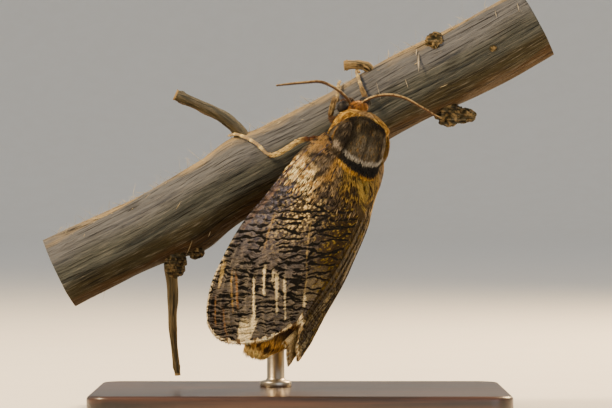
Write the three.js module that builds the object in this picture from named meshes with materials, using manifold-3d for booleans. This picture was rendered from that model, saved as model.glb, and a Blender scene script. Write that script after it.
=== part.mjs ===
// A goat moth at rest, head up, gripping the front of a short length of dead branch.
// The branch is held by one rod over a flat display base.
//
// Millimetres, +Z up. The origin is the centre of the underside of the base, +X runs to the
// right along the branch's rise, and -Y is the side that the moth's back faces.
//
// The moth is modelled in a frame of its own: a is the distance behind the middle of the
// thorax, b the distance to the moth's left, and c the height above its long axis. One group
// turns that frame to the resting pose.

import * as THREE from 'three';
import { mergeVertices } from 'three/addons/utils/BufferGeometryUtils.js';
import Module from 'manifold-3d';

const wasm = await Module();
wasm.setup();

// ---------------------------------------------------------------- driving dimensions

const GAP = 0.3; // clear space between neighbouring pieces

const BASE = { length: 70, depth: 44, height: 4, corner: 4, bevel: 0.6 };
const ROD = { x: -4.2, y: 5.2, radius: 1.5, sides: 20 };

const BRANCH = {
  y: 4,
  radius: 6.25,
  axis: [
    [-41.1, 23.35], [-26.6, 30.5], [-11.5, 38.84], [0.49, 44.98], [15.5, 53.3], [27.9, 59.6], [40.2, 66.5],
  ],
  rings: 28,
  sides: 18,
};

// Resting pose: the long axis leans TILT to the right of upright, its tail goes PITCH away
// from the viewer's side, and the back is rolled ROLL towards the right.
const POSE = { x: 9.17, y: -9.8, z: 44.33, tilt: 20, pitch: 5, roll: 36 };

const WING_THICKNESS = 0.5;
const ROOF = { ridgeSlope: 30, costaSlope: 54, width: 16 };
const VEIN = { height: 0.22, halfWidth: 0.28, widestShare: 0.019 };

// ---------------------------------------------------------------- small helpers

const radians = THREE.MathUtils.degToRad;
const lerp = THREE.MathUtils.lerp;
const vec = (x, y, z) => new THREE.Vector3(x, y, z);

/** A value that follows straight lines through [key, value] pairs. */
function graded(table, key) {
  if (key <= table[0][0]) {
    return table[0][1];
  }
  for (let i = 1; i < table.length; i += 1) {
    const [endKey, endValue] = table[i];
    const [startKey, startValue] = table[i - 1];
    if (key <= endKey) {
      return lerp(startValue, endValue, (key - startKey) / (endKey - startKey));
    }
  }
  return table[table.length - 1][1];
}

/** As graded, but rounded at each pair by a Catmull-Rom curve. */
function curved(table) {
  const curve = new THREE.SplineCurve(table.map(([key, value]) => new THREE.Vector2(key, value)));
  const samples = curve.getPoints(table.length * 12).map((point) => [point.x, point.y]);
  return (key) => graded(samples, key);
}

/** A closed BufferGeometry from points and triangles, turned so that its faces point out. */
function closedGeometry(points, triangles) {
  let volume = 0;
  for (const [i, j, k] of triangles) {
    volume += points[i].dot(points[j].clone().cross(points[k]));
  }
  const order = volume > 0 ? ([i, j, k]) => [i, j, k] : ([i, j, k]) => [i, k, j];
  const geometry = new THREE.BufferGeometry();
  const positions = points.flatMap((p) => [p.x, p.y, p.z]);
  geometry.setAttribute('position', new THREE.Float32BufferAttribute(positions, 3));
  geometry.setIndex(triangles.flatMap(order));
  return geometry;
}

/** Skins a row of equal rings of points, and closes each end with a fan to its middle. */
function loft(rings) {
  const sides = rings[0].length;
  const points = rings.flat();
  const triangles = [];
  for (let i = 0; i + 1 < rings.length; i += 1) {
    for (let j = 0; j < sides; j += 1) {
      const next = (j + 1) % sides;
      const [p, q] = [i * sides + j, i * sides + next];
      triangles.push([p, q, q + sides], [p, q + sides, p + sides]);
    }
  }
  for (const [ring, turn] of [[0, true], [rings.length - 1, false]]) {
    const centre = rings[ring].reduce((sum, p) => sum.add(p), vec(0, 0, 0)).divideScalar(sides);
    const middle = points.push(centre) - 1;
    for (let j = 0; j < sides; j += 1) {
      const [p, q] = [ring * sides + j, ring * sides + ((j + 1) % sides)];
      triangles.push(turn ? [middle, q, p] : [middle, p, q]);
    }
  }
  return closedGeometry(points, triangles);
}

/** A round tube through a route of points, its radius graded along the length from 0 to 1. */
function tube(route, radii, { steps = 16, sides = 8, grow = 0 } = {}) {
  const curve = new THREE.CatmullRomCurve3(route, false, 'centripetal');
  const frames = curve.computeFrenetFrames(steps, false);
  const rings = [];
  for (let i = 0; i <= steps; i += 1) {
    const centre = curve.getPointAt(i / steps);
    const radius = graded(radii, i / steps) + grow;
    rings.push(ringPoints(centre, frames.normals[i], frames.binormals[i], sides, () => radius));
  }
  return loft(rings);
}

/** Points round a centre, at the radius that a function of the angle gives. */
function ringPoints(centre, across, up, sides, radiusAt) {
  return Array.from({ length: sides }, (_, j) => {
    const angle = (j / sides) * 2 * Math.PI;
    const radius = radiusAt(angle);
    return centre.clone()
      .addScaledVector(across, radius * Math.cos(angle))
      .addScaledVector(up, radius * Math.sin(angle));
  });
}

/** An ellipsoid with semi-axes along x, y and z, turned by Euler angles in degrees. */
function ellipsoid(centre, semi, { turn = [0, 0, 0], sides = 16, rows = 10, grow = 0 } = {}) {
  const geometry = new THREE.SphereGeometry(1, sides, rows);
  const turned = new THREE.Euler(...turn.map(radians), 'ZYX');
  geometry.scale(semi[0] + grow, semi[1] + grow, semi[2] + grow);
  geometry.applyMatrix4(new THREE.Matrix4().makeRotationFromEuler(turned));
  geometry.translate(centre.x, centre.y, centre.z);
  return geometry;
}

/** A manifold-3d solid of a closed geometry. */
function solid(geometry) {
  const plain = geometry.clone();
  plain.deleteAttribute('normal');
  plain.deleteAttribute('uv');
  const welded = mergeVertices(plain, 1e-5);
  return new wasm.Manifold(new wasm.Mesh({
    numProp: 3,
    vertProperties: new Float32Array(welded.attributes.position.array),
    triVerts: Uint32Array.from(welded.index.array),
  }));
}

/** Several closed geometries fused into one solid. */
function fused(geometries) {
  return geometries.map(solid).reduce((sum, next) => sum.add(next));
}

/** The geometry of a solid's largest closed surface. */
function geometryOf(whole) {
  const [largest] = whole.decompose().sort((p, q) => q.volume() - p.volume());
  const { vertProperties, triVerts, numProp } = largest.getMesh();
  const points = [];
  for (let i = 0; i < vertProperties.length; i += numProp) {
    points.push(vec(vertProperties[i], vertProperties[i + 1], vertProperties[i + 2]));
  }
  const triangles = [];
  for (let i = 0; i < triVerts.length; i += 3) {
    triangles.push([triVerts[i], triVerts[i + 1], triVerts[i + 2]]);
  }
  return closedGeometry(points, triangles);
}

/** A named mesh of a geometry, in a colour with a roughness and a metalness. */
function part(name, geometry, finish) {
  geometry.computeVertexNormals();
  const mesh = new THREE.Mesh(geometry, new THREE.MeshStandardMaterial(finish));
  mesh.name = name;
  return mesh;
}

// ---------------------------------------------------------------- finishes

const FINISH = {
  base: { color: 0x2f2a26, roughness: 0.45, metalness: 0 },
  rod: { color: 0xa9a294, roughness: 0.35, metalness: 0.9 },
  bark: { color: 0x787068, roughness: 0.95, metalness: 0 },
  forewing: { color: 0x968773, roughness: 0.85, metalness: 0 },
  hindwing: { color: 0x7d6f5f, roughness: 0.85, metalness: 0 },
  thorax: { color: 0x4b3e2a, roughness: 0.95, metalness: 0 },
  abdomen: { color: 0x82461e, roughness: 0.95, metalness: 0 },
  head: { color: 0xb07030, roughness: 0.95, metalness: 0 },
  eye: { color: 0x120d0a, roughness: 0.25, metalness: 0 },
  antenna: { color: 0x4a2c18, roughness: 0.7, metalness: 0 },
  leg: { color: 0xcdb478, roughness: 0.85, metalness: 0 },
};

// ---------------------------------------------------------------- perch

const branchCurve = new THREE.CatmullRomCurve3(BRANCH.axis.map(([x, z]) => vec(x, BRANCH.y, z)));
const FRONT = vec(0, -1, 0);

/** The branch's centre, direction and upward side at a distance x along it. */
function branchStation(x) {
  let [low, high] = [0, 1];
  for (let i = 0; i < 24; i += 1) {
    const middle = (low + high) / 2;
    if (branchCurve.getPoint(middle).x < x) {
      low = middle;
    } else {
      high = middle;
    }
  }
  const centre = branchCurve.getPoint(low);
  const along = branchCurve.getTangent(low);
  const up = FRONT.clone().cross(along).negate();
  return { centre, along, up: up.z < 0 ? up.negate() : up };
}

/** The branch's radius at x and an angle from its front towards its top: long low furrows in
 *  the bark, a swelling at the broken twig, and a slow waist. */
function branchRadius(x, angle) {
  const furrows = 0.2 * Math.cos(3 * angle + 0.11 * x) + 0.16 * Math.cos(7 * angle - 0.23 * x);
  const swelling = 0.7 * Math.exp(-(((x + 9) / 3.2) ** 2)) * Math.max(0, Math.sin(angle));
  const waist = 0.15 * Math.cos(0.16 * x + 1.2);
  return BRANCH.radius + furrows + swelling + waist;
}

/** A point on the bark, lifted off it. The angle is 0 at the front and 90 at the top. */
function onBark(x, angleDegrees, lift) {
  const { centre, up } = branchStation(x);
  const angle = radians(angleDegrees);
  const radius = branchRadius(x, angle) + lift;
  return centre
    .addScaledVector(FRONT, radius * Math.cos(angle))
    .addScaledVector(up, radius * Math.sin(angle));
}

/** The stem of the branch, sawn square at both ends. */
function branchStem(grow = 0) {
  const [start] = BRANCH.axis[0];
  const [end] = BRANCH.axis[BRANCH.axis.length - 1];
  const rings = [];
  for (let i = 0; i <= BRANCH.rings; i += 1) {
    const x = lerp(start, end, i / BRANCH.rings);
    const { centre, up } = branchStation(x);
    rings.push(ringPoints(centre, FRONT, up, BRANCH.sides, (angle) => branchRadius(x, angle) + grow));
  }
  return loft(rings);
}

/** A dead twig or stub: a knobbly tube from inside the stem out to a broken end. */
function twig(route, rootRadius, tipRadius, steps, grow) {
  const radii = Array.from({ length: steps + 1 }, (_, i) => {
    const t = i / steps;
    return [t, lerp(rootRadius, tipRadius, t) * (1 + 0.1 * Math.cos(9 * t * Math.PI))];
  });
  return tube(route.map(([x, y, z]) => vec(x, y, z)), radii, { steps, sides: 8, grow });
}

// Dead twigs: the route of each from inside the stem to its broken end.
const TWIGS = [
  {
    route: [[-8.6, 4, 43.5], [-10.3, 3.6, 47.5], [-12.9, 3.2, 50.0], [-17.1, 3.0, 52.1], [-21.4, 2.8, 54.0]],
    root: 1.5,
    tip: 0.95,
    steps: 10,
  },
  {
    route: [
      [-21.5, 4, 29.5], [-22.4, 3.4, 25.0], [-22.2, 3.0, 20.4],
      [-22.2, 3.0, 15.1], [-21.9, 3.1, 10.8], [-21.2, 3.2, 6.0],
    ],
    root: 1.3,
    tip: 0.5,
    steps: 16,
  },
  {
    route: [[13.0, 3.0, 56.0], [11.6, 2.6, 58.6], [9.6, 2.4, 59.1], [7.5, 2.2, 59.0]],
    root: 0.95,
    tip: 0.75,
    steps: 6,
  },
];

// Knobs and buds on the bark: centre, semi-axes, and turn about Y.
const KNOBS = [
  { centre: [-21.0, 1.6, 25.4], semi: [2.4, 2.0, 1.7], turn: -25 },
  { centre: [-17.8, 2.4, 27.8], semi: [1.7, 1.6, 2.2], turn: 20 },
  { centre: [23.2, 3.4, 63.0], semi: [1.3, 1.3, 1.5], turn: -28 },
  { centre: [33.0, -2.2, 62.4], semi: [0.9, 0.7, 0.7], turn: 0 },
  { centre: [25.4, 2.2, 50.8], semi: [2.2, 1.8, 2.0], turn: -15 },
  { centre: [27.9, 2.0, 50.4], semi: [1.9, 1.2, 1.2], turn: 10 },
];

/** The whole perch: the stem with its dead twigs and knobs, or room for it when grown. */
function perchSolid(grow = 0) {
  const twigs = TWIGS.map(({ route, root, tip, steps }) => twig(route, root, tip, steps, grow));
  const knobs = KNOBS.map(({ centre, semi, turn }) => (
    ellipsoid(vec(...centre), semi, { turn: [0, turn, 0], sides: 10, rows: 7, grow })
  ));
  return fused([branchStem(grow), ...twigs, ...knobs]);
}

// ---------------------------------------------------------------- stand

function standBase() {
  const { length, depth, height, corner, bevel } = BASE;
  const [halfLength, halfDepth] = [length / 2 - bevel, depth / 2 - bevel];
  const outline = new THREE.Shape();
  for (const [sx, sy, start] of [[1, 1, 0], [-1, 1, 90], [-1, -1, 180], [1, -1, 270]]) {
    const [x, y] = [sx * (halfLength - corner), sy * (halfDepth - corner)];
    outline.absarc(x, y, corner, radians(start), radians(start + 90), false);
  }
  const geometry = new THREE.ExtrudeGeometry(outline, {
    depth: height - 2 * bevel,
    bevelThickness: bevel,
    bevelSize: bevel,
    bevelSegments: 1,
    curveSegments: 4,
  });
  return geometryOf(solid(geometry.translate(0, 0, bevel)));
}

function standRod() {
  const top = branchStation(ROD.x).centre.z;
  const bottom = BASE.height + GAP;
  const rod = new THREE.CylinderGeometry(ROD.radius, ROD.radius, top - bottom, ROD.sides);
  rod.rotateX(Math.PI / 2).translate(ROD.x, ROD.y, (top + bottom) / 2);
  return geometryOf(solid(rod).subtract(solid(branchStem(GAP))));
}

// ---------------------------------------------------------------- moth's own frame

const moth = new THREE.Group();
{
  const [tilt, pitch, roll] = [POSE.tilt, POSE.pitch, POSE.roll].map(radians);
  const level = Math.cos(pitch);
  const forward = vec(Math.sin(tilt) * level, -Math.sin(pitch), Math.cos(tilt) * level);
  const right = vec(Math.cos(tilt), 0, -Math.sin(tilt));
  const back = right.clone().cross(forward);
  const dorsal = back.clone().multiplyScalar(Math.cos(roll)).addScaledVector(right, Math.sin(roll));
  const left = dorsal.clone().cross(forward);
  moth.quaternion.setFromRotationMatrix(new THREE.Matrix4().makeBasis(forward, left, dorsal));
  moth.position.set(POSE.x, POSE.y, POSE.z);
  moth.updateMatrixWorld(true);
}

/** A point of the moth's frame: a behind the thorax's middle, b to its left, c above. */
const at = (a, b, c) => vec(-a, b, c);

/** A world point in the moth's frame. */
const inMoth = (point) => moth.worldToLocal(point.clone());

const perchRoom = solid(geometryOf(perchSolid(GAP)).applyMatrix4(moth.matrixWorld.clone().invert()));

// ---------------------------------------------------------------- thorax

const THORAX = {
  start: -6.7,
  end: 9.3,
  width: curved([
    [-6.7, 1.2], [-6.3, 2.4], [-5.6, 3.7], [-4.6, 4.6], [-3, 5.1], [-1, 5.4],
    [2, 5.5], [5, 5.2], [7, 4.7], [8.6, 3.8], [9.3, 2.2],
  ]),
  heightShare: 1.02,
  leftward: curved([[-6.7, 0.1], [-3, 0.35], [5, 0.35], [9.3, 0.1]]),
  sink: curved([[-6.7, -0.4], [-4.6, -0.2], [-2, 0], [2, 0], [9.3, 0.3]]),
  rise: (a, angle) => collarRise(a, angle),
};
const TEGULA = { centre: [-1.5, 4.25, 1.0], semi: [3.3, 1.1, 2.5], turn: [-12, 0, -8] };
const COLLAR = { a: -4.9, length: 0.75, height: 0.4, reach: 105 };

/** The collar's height above the thorax: a rounded rim round the back and both sides. */
function collarRise(a, angle) {
  const fromMidline = Math.abs(angle > Math.PI ? angle - 2 * Math.PI : angle);
  const round = Math.max(0, 1 - (fromMidline / radians(COLLAR.reach)) ** 4);
  return COLLAR.height * round * Math.exp(-(((a - COLLAR.a) / COLLAR.length) ** 2));
}

/** Rings of an elongated body of the moth, one for each step from start to end. */
function bodyRings({ start, end, width, heightShare, leftward, sink, rise = () => 0 }, steps, sides, grow) {
  const rings = [];
  for (let i = 0; i <= steps; i += 1) {
    const ease = (1 - Math.cos((i / steps) * Math.PI)) / 2;
    const a = lerp(start, end, lerp(i / steps, ease, 0.5));
    const grownEnd = i === 0 ? -grow : i === steps ? grow : 0;
    rings.push(Array.from({ length: sides }, (_, j) => {
      const angle = (j / sides) * 2 * Math.PI;
      const radius = width(a) + rise(a, angle) + grow;
      const [b, c] = [radius * Math.sin(angle), radius * heightShare * Math.cos(angle)];
      return at(a + grownEnd, leftward(a) + b, sink(a) + c);
    }));
  }
  return rings;
}

function thoraxSolid(grow = 0) {
  const lobes = [];
  for (const side of [1, -1]) {
    const { centre: [a, b, c], semi, turn } = TEGULA;
    const mirrored = [side * turn[0], turn[1], side * turn[2]];
    const centre = at(a, THORAX.leftward(a) + side * b, c);
    lobes.push(ellipsoid(centre, semi, { turn: mirrored, sides: 12, rows: 8, grow }));
  }
  return fused([loft(bodyRings(THORAX, 18, 20, grow)), ...lobes]);
}

// ---------------------------------------------------------------- wings

// How much steeper the right wing is held than the left, in degrees, by distance from its base.
const RIGHT_STEEPER = curved([[-2, 9], [7, 8], [12, 5], [18, 2.5], [25, 0], [42, 0]]);
const RIDGE_HEIGHT = curved([
  [-2, 6.8], [5, 7.0], [12, 6.8], [17, 5.8], [21, 4.7], [25, 3.5], [30, 2.0], [38, 0.5],
]);

const FOREWING = {
  inner: { start: [3.0, 3.4], end: [29.8, 0.1], bowFrom: 9.5, hollow: 0, hook: 0 },
  costa: [[-1.5, 9.6], [3.1, 12.3], [11.5, 15.2], [18.5, 16.8], [27, 16.5], [32.8, 15.2], [35.9, 13.6]],
  termen: [[29.8, 0.1], [31.6, 1.0], [34.4, 3.0], [36.3, 5.7], [37.5, 8.6], [37.4, 11.3], [35.9, 13.6]],
  layer: 0,
  rootDip: 2.3,
  slip: 0,
  steps: 15,
  veins: [
    { root: 0.12, tip: 0.03, fork: 0, bend: 0.02 },
    { root: 0.34, tip: 0.08, fork: 0, bend: 0.08 },
    { root: 0.46, tip: 0.15, fork: 0, bend: 0.15 },
    { root: 0.53, tip: 0.23, fork: 0.5, bend: 0.15 },
    { root: 0.60, tip: 0.32, fork: 0.56, bend: 0.16 },
    { root: 0.67, tip: 0.40, fork: 0.58, bend: 0.16 },
    { root: 0.73, tip: 0.48, fork: 0.55, bend: 0.15 },
    { root: 0.78, tip: 0.56, fork: 0, bend: 0.16 },
    { root: 0.84, tip: 0.65, fork: 0.62, bend: 0.13 },
    { root: 0.89, tip: 0.75, fork: 0.5, bend: 0.105 },
    { root: 0.95, tip: 0.92, fork: 0, bend: 0.035 },
  ],
};

const HINDWING = {
  inner: { start: [7.6, 3.2], end: [31.5, 1.2], bowFrom: 12, hollow: 0, hook: 0 },
  costa: [[6.2, 7.6], [9.5, 10.8], [16, 13.2], [24, 14.2], [31, 13.4], [34.4, 11.6]],
  termen: [[31.5, 1.2], [33.6, 2.6], [35.2, 5.2], [35.7, 8.6], [34.4, 11.6]],
  layer: 1,
  rootDip: 1.5,
  slip: 0,
  steps: 10,
  veins: [
    { root: 0.12, tip: 0.10, fork: 0, bend: 0 },
    { root: 0.28, tip: 0.24, fork: 0, bend: 0 },
    { root: 0.42, tip: 0.38, fork: 0, bend: 0.03 },
    { root: 0.52, tip: 0.52, fork: 0.5, bend: -0.02 },
    { root: 0.64, tip: 0.68, fork: 0.5, bend: 0.02 },
    { root: 0.76, tip: 0.82, fork: 0, bend: 0 },
    { root: 0.90, tip: 0.94, fork: 0, bend: 0 },
  ],
};

// The right hindwing has slid out beyond its fellow, and its inner corner hooks back under the
// ridge behind a hollow in its edge.
const RIGHT_HINDWING = {
  ...HINDWING,
  inner: { start: [7.6, 3.2], end: [31.5, 1.2], bowFrom: 12, hollow: 3.0, hook: 1.4 },
  termen: [[31.5, -0.2], [32.4, 2.0], [34.6, 5.4], [35.7, 8.6], [34.4, 11.6]],
  slip: 3.1,
};
const HOLLOW = { at: 0.88, reach: 0.2 };

/** A wing's outline laid flat, as a patch between its four edges. u runs from the root to the
 *  outer edge and v from the inner edge to the leading edge. s is the distance along the
 *  body and w the distance from the ridge of the roof. */
function flatWing(wing) {
  const { start, end, bowFrom, hollow, hook } = wing.inner;
  const inner = (u) => {
    const s = lerp(start[0], end[0], u);
    const open = THREE.MathUtils.clamp((bowFrom - s) / (bowFrom - start[0]), 0, 1);
    const bow = (start[1] - end[1]) * open ** 1.6;
    const hollowed = hollow * Math.max(0, 1 - Math.abs(u - HOLLOW.at) / HOLLOW.reach);
    const hooked = hook * THREE.MathUtils.smoothstep(u, HOLLOW.at, 1);
    return new THREE.Vector2(s, end[1] + bow + hollowed - hooked);
  };
  const costaCurve = new THREE.SplineCurve(wing.costa.map(([s, w]) => new THREE.Vector2(s, w)));
  const termenCurve = new THREE.SplineCurve(wing.termen.map(([s, w]) => new THREE.Vector2(s, w)));
  const root = (v) => inner(0).lerp(costaCurve.getPoint(0), v);
  return (u, v) => {
    const blend = (p, q, t) => p.clone().lerp(q, t);
    const across = blend(inner(u), costaCurve.getPointAt(u), v);
    const along = blend(root(v), termenCurve.getPointAt(v), u);
    const innerLine = blend(inner(0), inner(1), u);
    const costaLine = blend(costaCurve.getPoint(0), costaCurve.getPoint(1), u);
    const point = across.add(along).sub(blend(innerLine, costaLine, v));
    point.x += wing.slip * u;
    return point;
  };
}

/** Lays a flat wing point on the roof and moves it out from it. The roof falls away from its
 *  ridge more steeply towards the leading edge, so w is an arc length on a turning slope. */
function onRoof({ x: s, y: w }, side, out) {
  const steeper = side < 0 ? RIGHT_STEEPER(s) : 0;
  const slope0 = radians(ROOF.ridgeSlope + steeper);
  const turn = radians(ROOF.costaSlope - ROOF.ridgeSlope) / ROOF.width;
  const slope = slope0 + turn * w;
  const step = 0.01;
  const fall = (RIDGE_HEIGHT(s + step) - RIDGE_HEIGHT(s - step)) / (2 * step);
  const edge = GAP / 2 + WING_THICKNESS * Math.sin(slope0);
  const b = edge + (Math.sin(slope) - Math.sin(slope0)) / turn;
  const c = RIDGE_HEIGHT(s) - (Math.cos(slope0) - Math.cos(slope)) / turn;
  const normal = vec(-fall * Math.cos(slope), Math.sin(slope), Math.cos(slope)).normalize();
  return at(s + normal.x * out, side * (b + normal.y * out), c + normal.z * out);
}

/** The share of the way across the wing of each line of its grid at u, with the line's lift.
 *  Each vein has a line on its crest and one at each foot. */
function wingLines(wing, u, chord) {
  const lines = [{ v: 0, lift: 0 }];
  for (const { root, tip, fork, bend } of wing.veins) {
    const v = lerp(root, tip, u) + bend * Math.sin(Math.PI * u);
    const strength = fork === 0 ? 1 : THREE.MathUtils.clamp((u - fork) / 0.08, 0, 1);
    const fade = THREE.MathUtils.clamp((1 - u) / 0.06, 0.35, 1);
    const foot = Math.min(VEIN.halfWidth / chord, VEIN.widestShare);
    const crest = VEIN.height * strength * fade;
    lines.push({ v: v - foot, lift: 0 }, { v, lift: crest }, { v: v + foot, lift: 0 });
  }
  lines.push({ v: 1, lift: 0 });
  return lines;
}

/** A wing as one closed sheet: its outer face carries the veins, and its inner face is split
 *  into the same triangles. A grown wing is also spread out past its edges. */
function wingSheet(wing, side, grow = 0) {
  const laid = flatWing(wing);
  const middle = laid(0.5, 0.5);
  const spread = 1 + (1.5 * grow) / laid(0.5, 0).distanceTo(middle);
  const flat = (u, v) => laid(u, v).sub(middle).multiplyScalar(spread).add(middle);
  const depth = wing.layer * (WING_THICKNESS + GAP + VEIN.height);
  const faces = [[], []];
  for (let i = 0; i <= wing.steps; i += 1) {
    const u = i / wing.steps;
    const chord = flat(u, 0).distanceTo(flat(u, 1));
    const dip = wing.rootDip * Math.max(0, 1 - u / 0.14) ** 2;
    for (const { v, lift } of wingLines(wing, u, chord)) {
      const point = flat(u, v);
      faces[0].push(onRoof(point, side, lift - depth - dip + grow));
      faces[1].push(onRoof(point, side, -WING_THICKNESS - depth - dip - grow));
    }
  }
  return closedSheet(faces, wing.steps + 1, wing.veins.length * 3 + 2);
}

/** Two like grids of points, front and back, joined round their edges. */
function closedSheet([front, back], rows, columns) {
  const points = [...front, ...back];
  const offset = front.length;
  const triangles = [];
  for (let i = 0; i + 1 < rows; i += 1) {
    for (let j = 0; j + 1 < columns; j += 1) {
      const p = i * columns + j;
      const [q, r, s] = [p + 1, p + columns, p + columns + 1];
      triangles.push([p, q, s], [p, s, r]);
      triangles.push([p + offset, s + offset, q + offset], [p + offset, r + offset, s + offset]);
    }
  }
  const count = (length, numberOf) => Array.from({ length }, (_, i) => numberOf(i));
  const edge = [
    ...count(columns - 1, (j) => j),
    ...count(rows - 1, (i) => i * columns + columns - 1),
    ...count(columns - 1, (j) => rows * columns - 1 - j),
    ...count(rows - 1, (i) => (rows - 1 - i) * columns),
  ];
  edge.forEach((p, k) => {
    const q = edge[(k + 1) % edge.length];
    triangles.push([p, p + offset, q + offset], [p, q + offset, q]);
  });
  return closedGeometry(points, triangles);
}

// ---------------------------------------------------------------- abdomen

const ABDOMEN = {
  start: 9.6,
  end: 38.3,
  width: curved([
    [9.6, 3.2], [10.4, 4.3], [13, 4.5], [20, 4.1], [28, 4.0], [34, 3.9], [36, 3.5], [37.6, 2.6], [38.3, 1.3],
  ]),
  heightShare: 1,
  leftward: curved([[9.6, 0], [26, 0], [34, 0.7], [38.3, 1.6]]),
  sink: curved([[9.6, -0.4], [20, -1.9], [30, -3.4], [38.3, -4.7]]),
};
const SEGMENT = { length: 3.9, groove: 0.22 };

/** The abdomen's width with a shallow groove between each two segments. */
function segmentedWidth(a) {
  const phase = ((a - ABDOMEN.start) / SEGMENT.length) * 2 * Math.PI;
  return ABDOMEN.width(a) - SEGMENT.groove * Math.cos(phase);
}

// ---------------------------------------------------------------- head

const HEAD = { centre: [-6.4, 0.8, -2.9], semi: [1.5, 2.45, 2.4], turn: [0, 14, 24] };
const EYE = { radius: 1.1, apart: 2.1, ahead: 0.55, above: -0.2 };
const PALP = { ahead: 0.9, apart: 0.65, below: -2.2, semi: [0.85, 0.5, 0.9] };

const headTurn = new THREE.Matrix4()
  .makeRotationFromEuler(new THREE.Euler(...HEAD.turn.map(radians), 'ZYX'))
  .setPosition(at(...HEAD.centre));

/** A point of the head's own frame: ahead of its middle, to its left and above. */
const inHead = (ahead, left, above) => vec(ahead, left, above).applyMatrix4(headTurn);

function headSolid(grow = 0) {
  const skull = ellipsoid(inHead(0, 0, 0), HEAD.semi, { turn: HEAD.turn, sides: 18, rows: 12, grow });
  const palps = [1, -1].map((side) => ellipsoid(
    inHead(PALP.ahead, side * PALP.apart, PALP.below),
    PALP.semi,
    { turn: HEAD.turn, sides: 8, rows: 6, grow },
  ));
  return fused([skull, ...palps]);
}

const eyeGeometry = (side, grow = 0) => ellipsoid(
  inHead(EYE.ahead, side * EYE.apart, EYE.above),
  [EYE.radius, EYE.radius, EYE.radius],
  { sides: 12, rows: 9, grow },
);

// ---------------------------------------------------------------- antennae

// Routes in world coordinates, from inside the head out to the tip.
const ANTENNA = {
  left: [
    [8.8, -8.2, 50.6], [8.3, -9.3, 52.3], [7.0, -9.7, 53.8], [5.6, -9.8, 54.8],
    [3.4, -10.0, 55.7], [1.0, -10.2, 55.6], [-2.0, -10.5, 55.3], [-4.0, -10.6, 55.05],
  ],
  right: [
    [9.4, -8.2, 50.6], [10.2, -9.3, 52.0], [12.1, -9.9, 53.1], [14.6, -10.3, 53.5],
    [17.3, -10.6, 53.0], [20.6, -10.9, 51.2], [22.8, -11.1, 49.9], [23.3, -11.2, 49.7],
  ],
  radii: [[0, 0.36], [0.15, 0.36], [0.5, 0.38], [0.85, 0.3], [1, 0.2]],
};

// ---------------------------------------------------------------- legs

const LEG_RADII = [
  [0, 0.75], [0.3, 0.7], [0.42, 0.5], [0.48, 0.62], [0.66, 0.6], [0.72, 0.34], [0.96, 0.3], [1, 0.16],
];

/** Points of a foot laid on the bark, wrapping from one place and angle to another. */
function footOnBark([x0, angle0], [x1, angle1], steps = 4) {
  return Array.from({ length: steps + 1 }, (_, i) => {
    const t = i / steps;
    return onBark(lerp(x0, x1, t), lerp(angle0, angle1, t), GAP + lerp(0.62, 0.36, t));
  });
}

// Each leg: its hip in the moth's frame, its knees in world coordinates, and the distance
// along the branch and the angle round it where its foot starts and ends.
const LEGS = {
  leg_front_left: {
    hip: [-3.6, 3.0, -3.6],
    knees: [[5.2, -8.2, 49.6], [5.7, -6.6, 52.6]],
    foot: [[8.4, 40], [10.2, 78]],
  },
  leg_front_right: { hip: [-3.8, -1.8, -4.0], knees: [[10.9, -5.6, 52.6]], foot: [[12.3, 34], [13.4, 104]] },
  leg_mid_left: {
    hip: [0.3, 3.2, -4.2],
    knees: [[1.6, -8.4, 46.2], [0.2, -7.6, 46.0]],
    foot: [[-4.4, 10], [-8.8, 96]],
  },
  leg_mid_right: { hip: [0.3, -2.6, -4.6], knees: [[12.0, -4.8, 45.2]], foot: [[10.9, -26], [11.0, -84]] },
  leg_hind_left: { hip: [3.8, 3.0, -4.2], knees: [[0.6, -7.4, 39.6]], foot: [[-1.6, -20], [-3.2, -72]] },
  leg_hind_right: { hip: [3.8, -2.4, -4.4], knees: [[9.6, -3.2, 39.2]], foot: [[6.2, -46], [7.0, -98]] },
};

function legTube({ hip, knees, foot }) {
  const route = [at(...hip), ...knees.map((p) => inMoth(vec(...p))), ...footOnBark(...foot).map(inMoth)];
  return tube(route, LEG_RADII, { steps: 18, sides: 7 });
}

// ---------------------------------------------------------------- assembly

const model = new THREE.Group();
model.add(part('stand_base', standBase(), FINISH.base));
model.add(part('stand_rod', standRod(), FINISH.rod));
model.add(part('perch_branch', geometryOf(perchSolid()), FINISH.bark));
model.add(moth);

const eyeRoom = solid(eyeGeometry(1, GAP)).add(solid(eyeGeometry(-1, GAP)));
const headRoom = headSolid(GAP).add(eyeRoom);
moth.add(part('head', geometryOf(headSolid().subtract(eyeRoom)), FINISH.head));

const thoraxRoom = thoraxSolid(GAP);
moth.add(part('thorax', geometryOf(thoraxSolid().subtract(headRoom)), FINISH.thorax));

let wingRoom = null;
for (const [name, side] of [['left', 1], ['right', -1]]) {
  const under = side < 0 ? RIGHT_HINDWING : HINDWING;
  const forewing = solid(wingSheet(FOREWING, side)).subtract(thoraxRoom);
  const hindwing = solid(wingSheet(under, side)).subtract(thoraxRoom);
  const unhollowed = { ...under, inner: { ...under.inner, hollow: 0 } };
  const room = fused([wingSheet(FOREWING, side, GAP), wingSheet(unhollowed, side, GAP)]);
  wingRoom = wingRoom ? wingRoom.add(room) : room;
  moth.add(part(`forewing_${name}`, geometryOf(forewing), FINISH.forewing));
  moth.add(part(`hindwing_${name}`, geometryOf(hindwing), FINISH.hindwing));
}

const abdomenRings = bodyRings({ ...ABDOMEN, width: segmentedWidth }, 24, 16, 0);
const abdomen = solid(loft(abdomenRings)).subtract(thoraxRoom).subtract(wingRoom);
moth.add(part('abdomen', geometryOf(abdomen), FINISH.abdomen));

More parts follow.
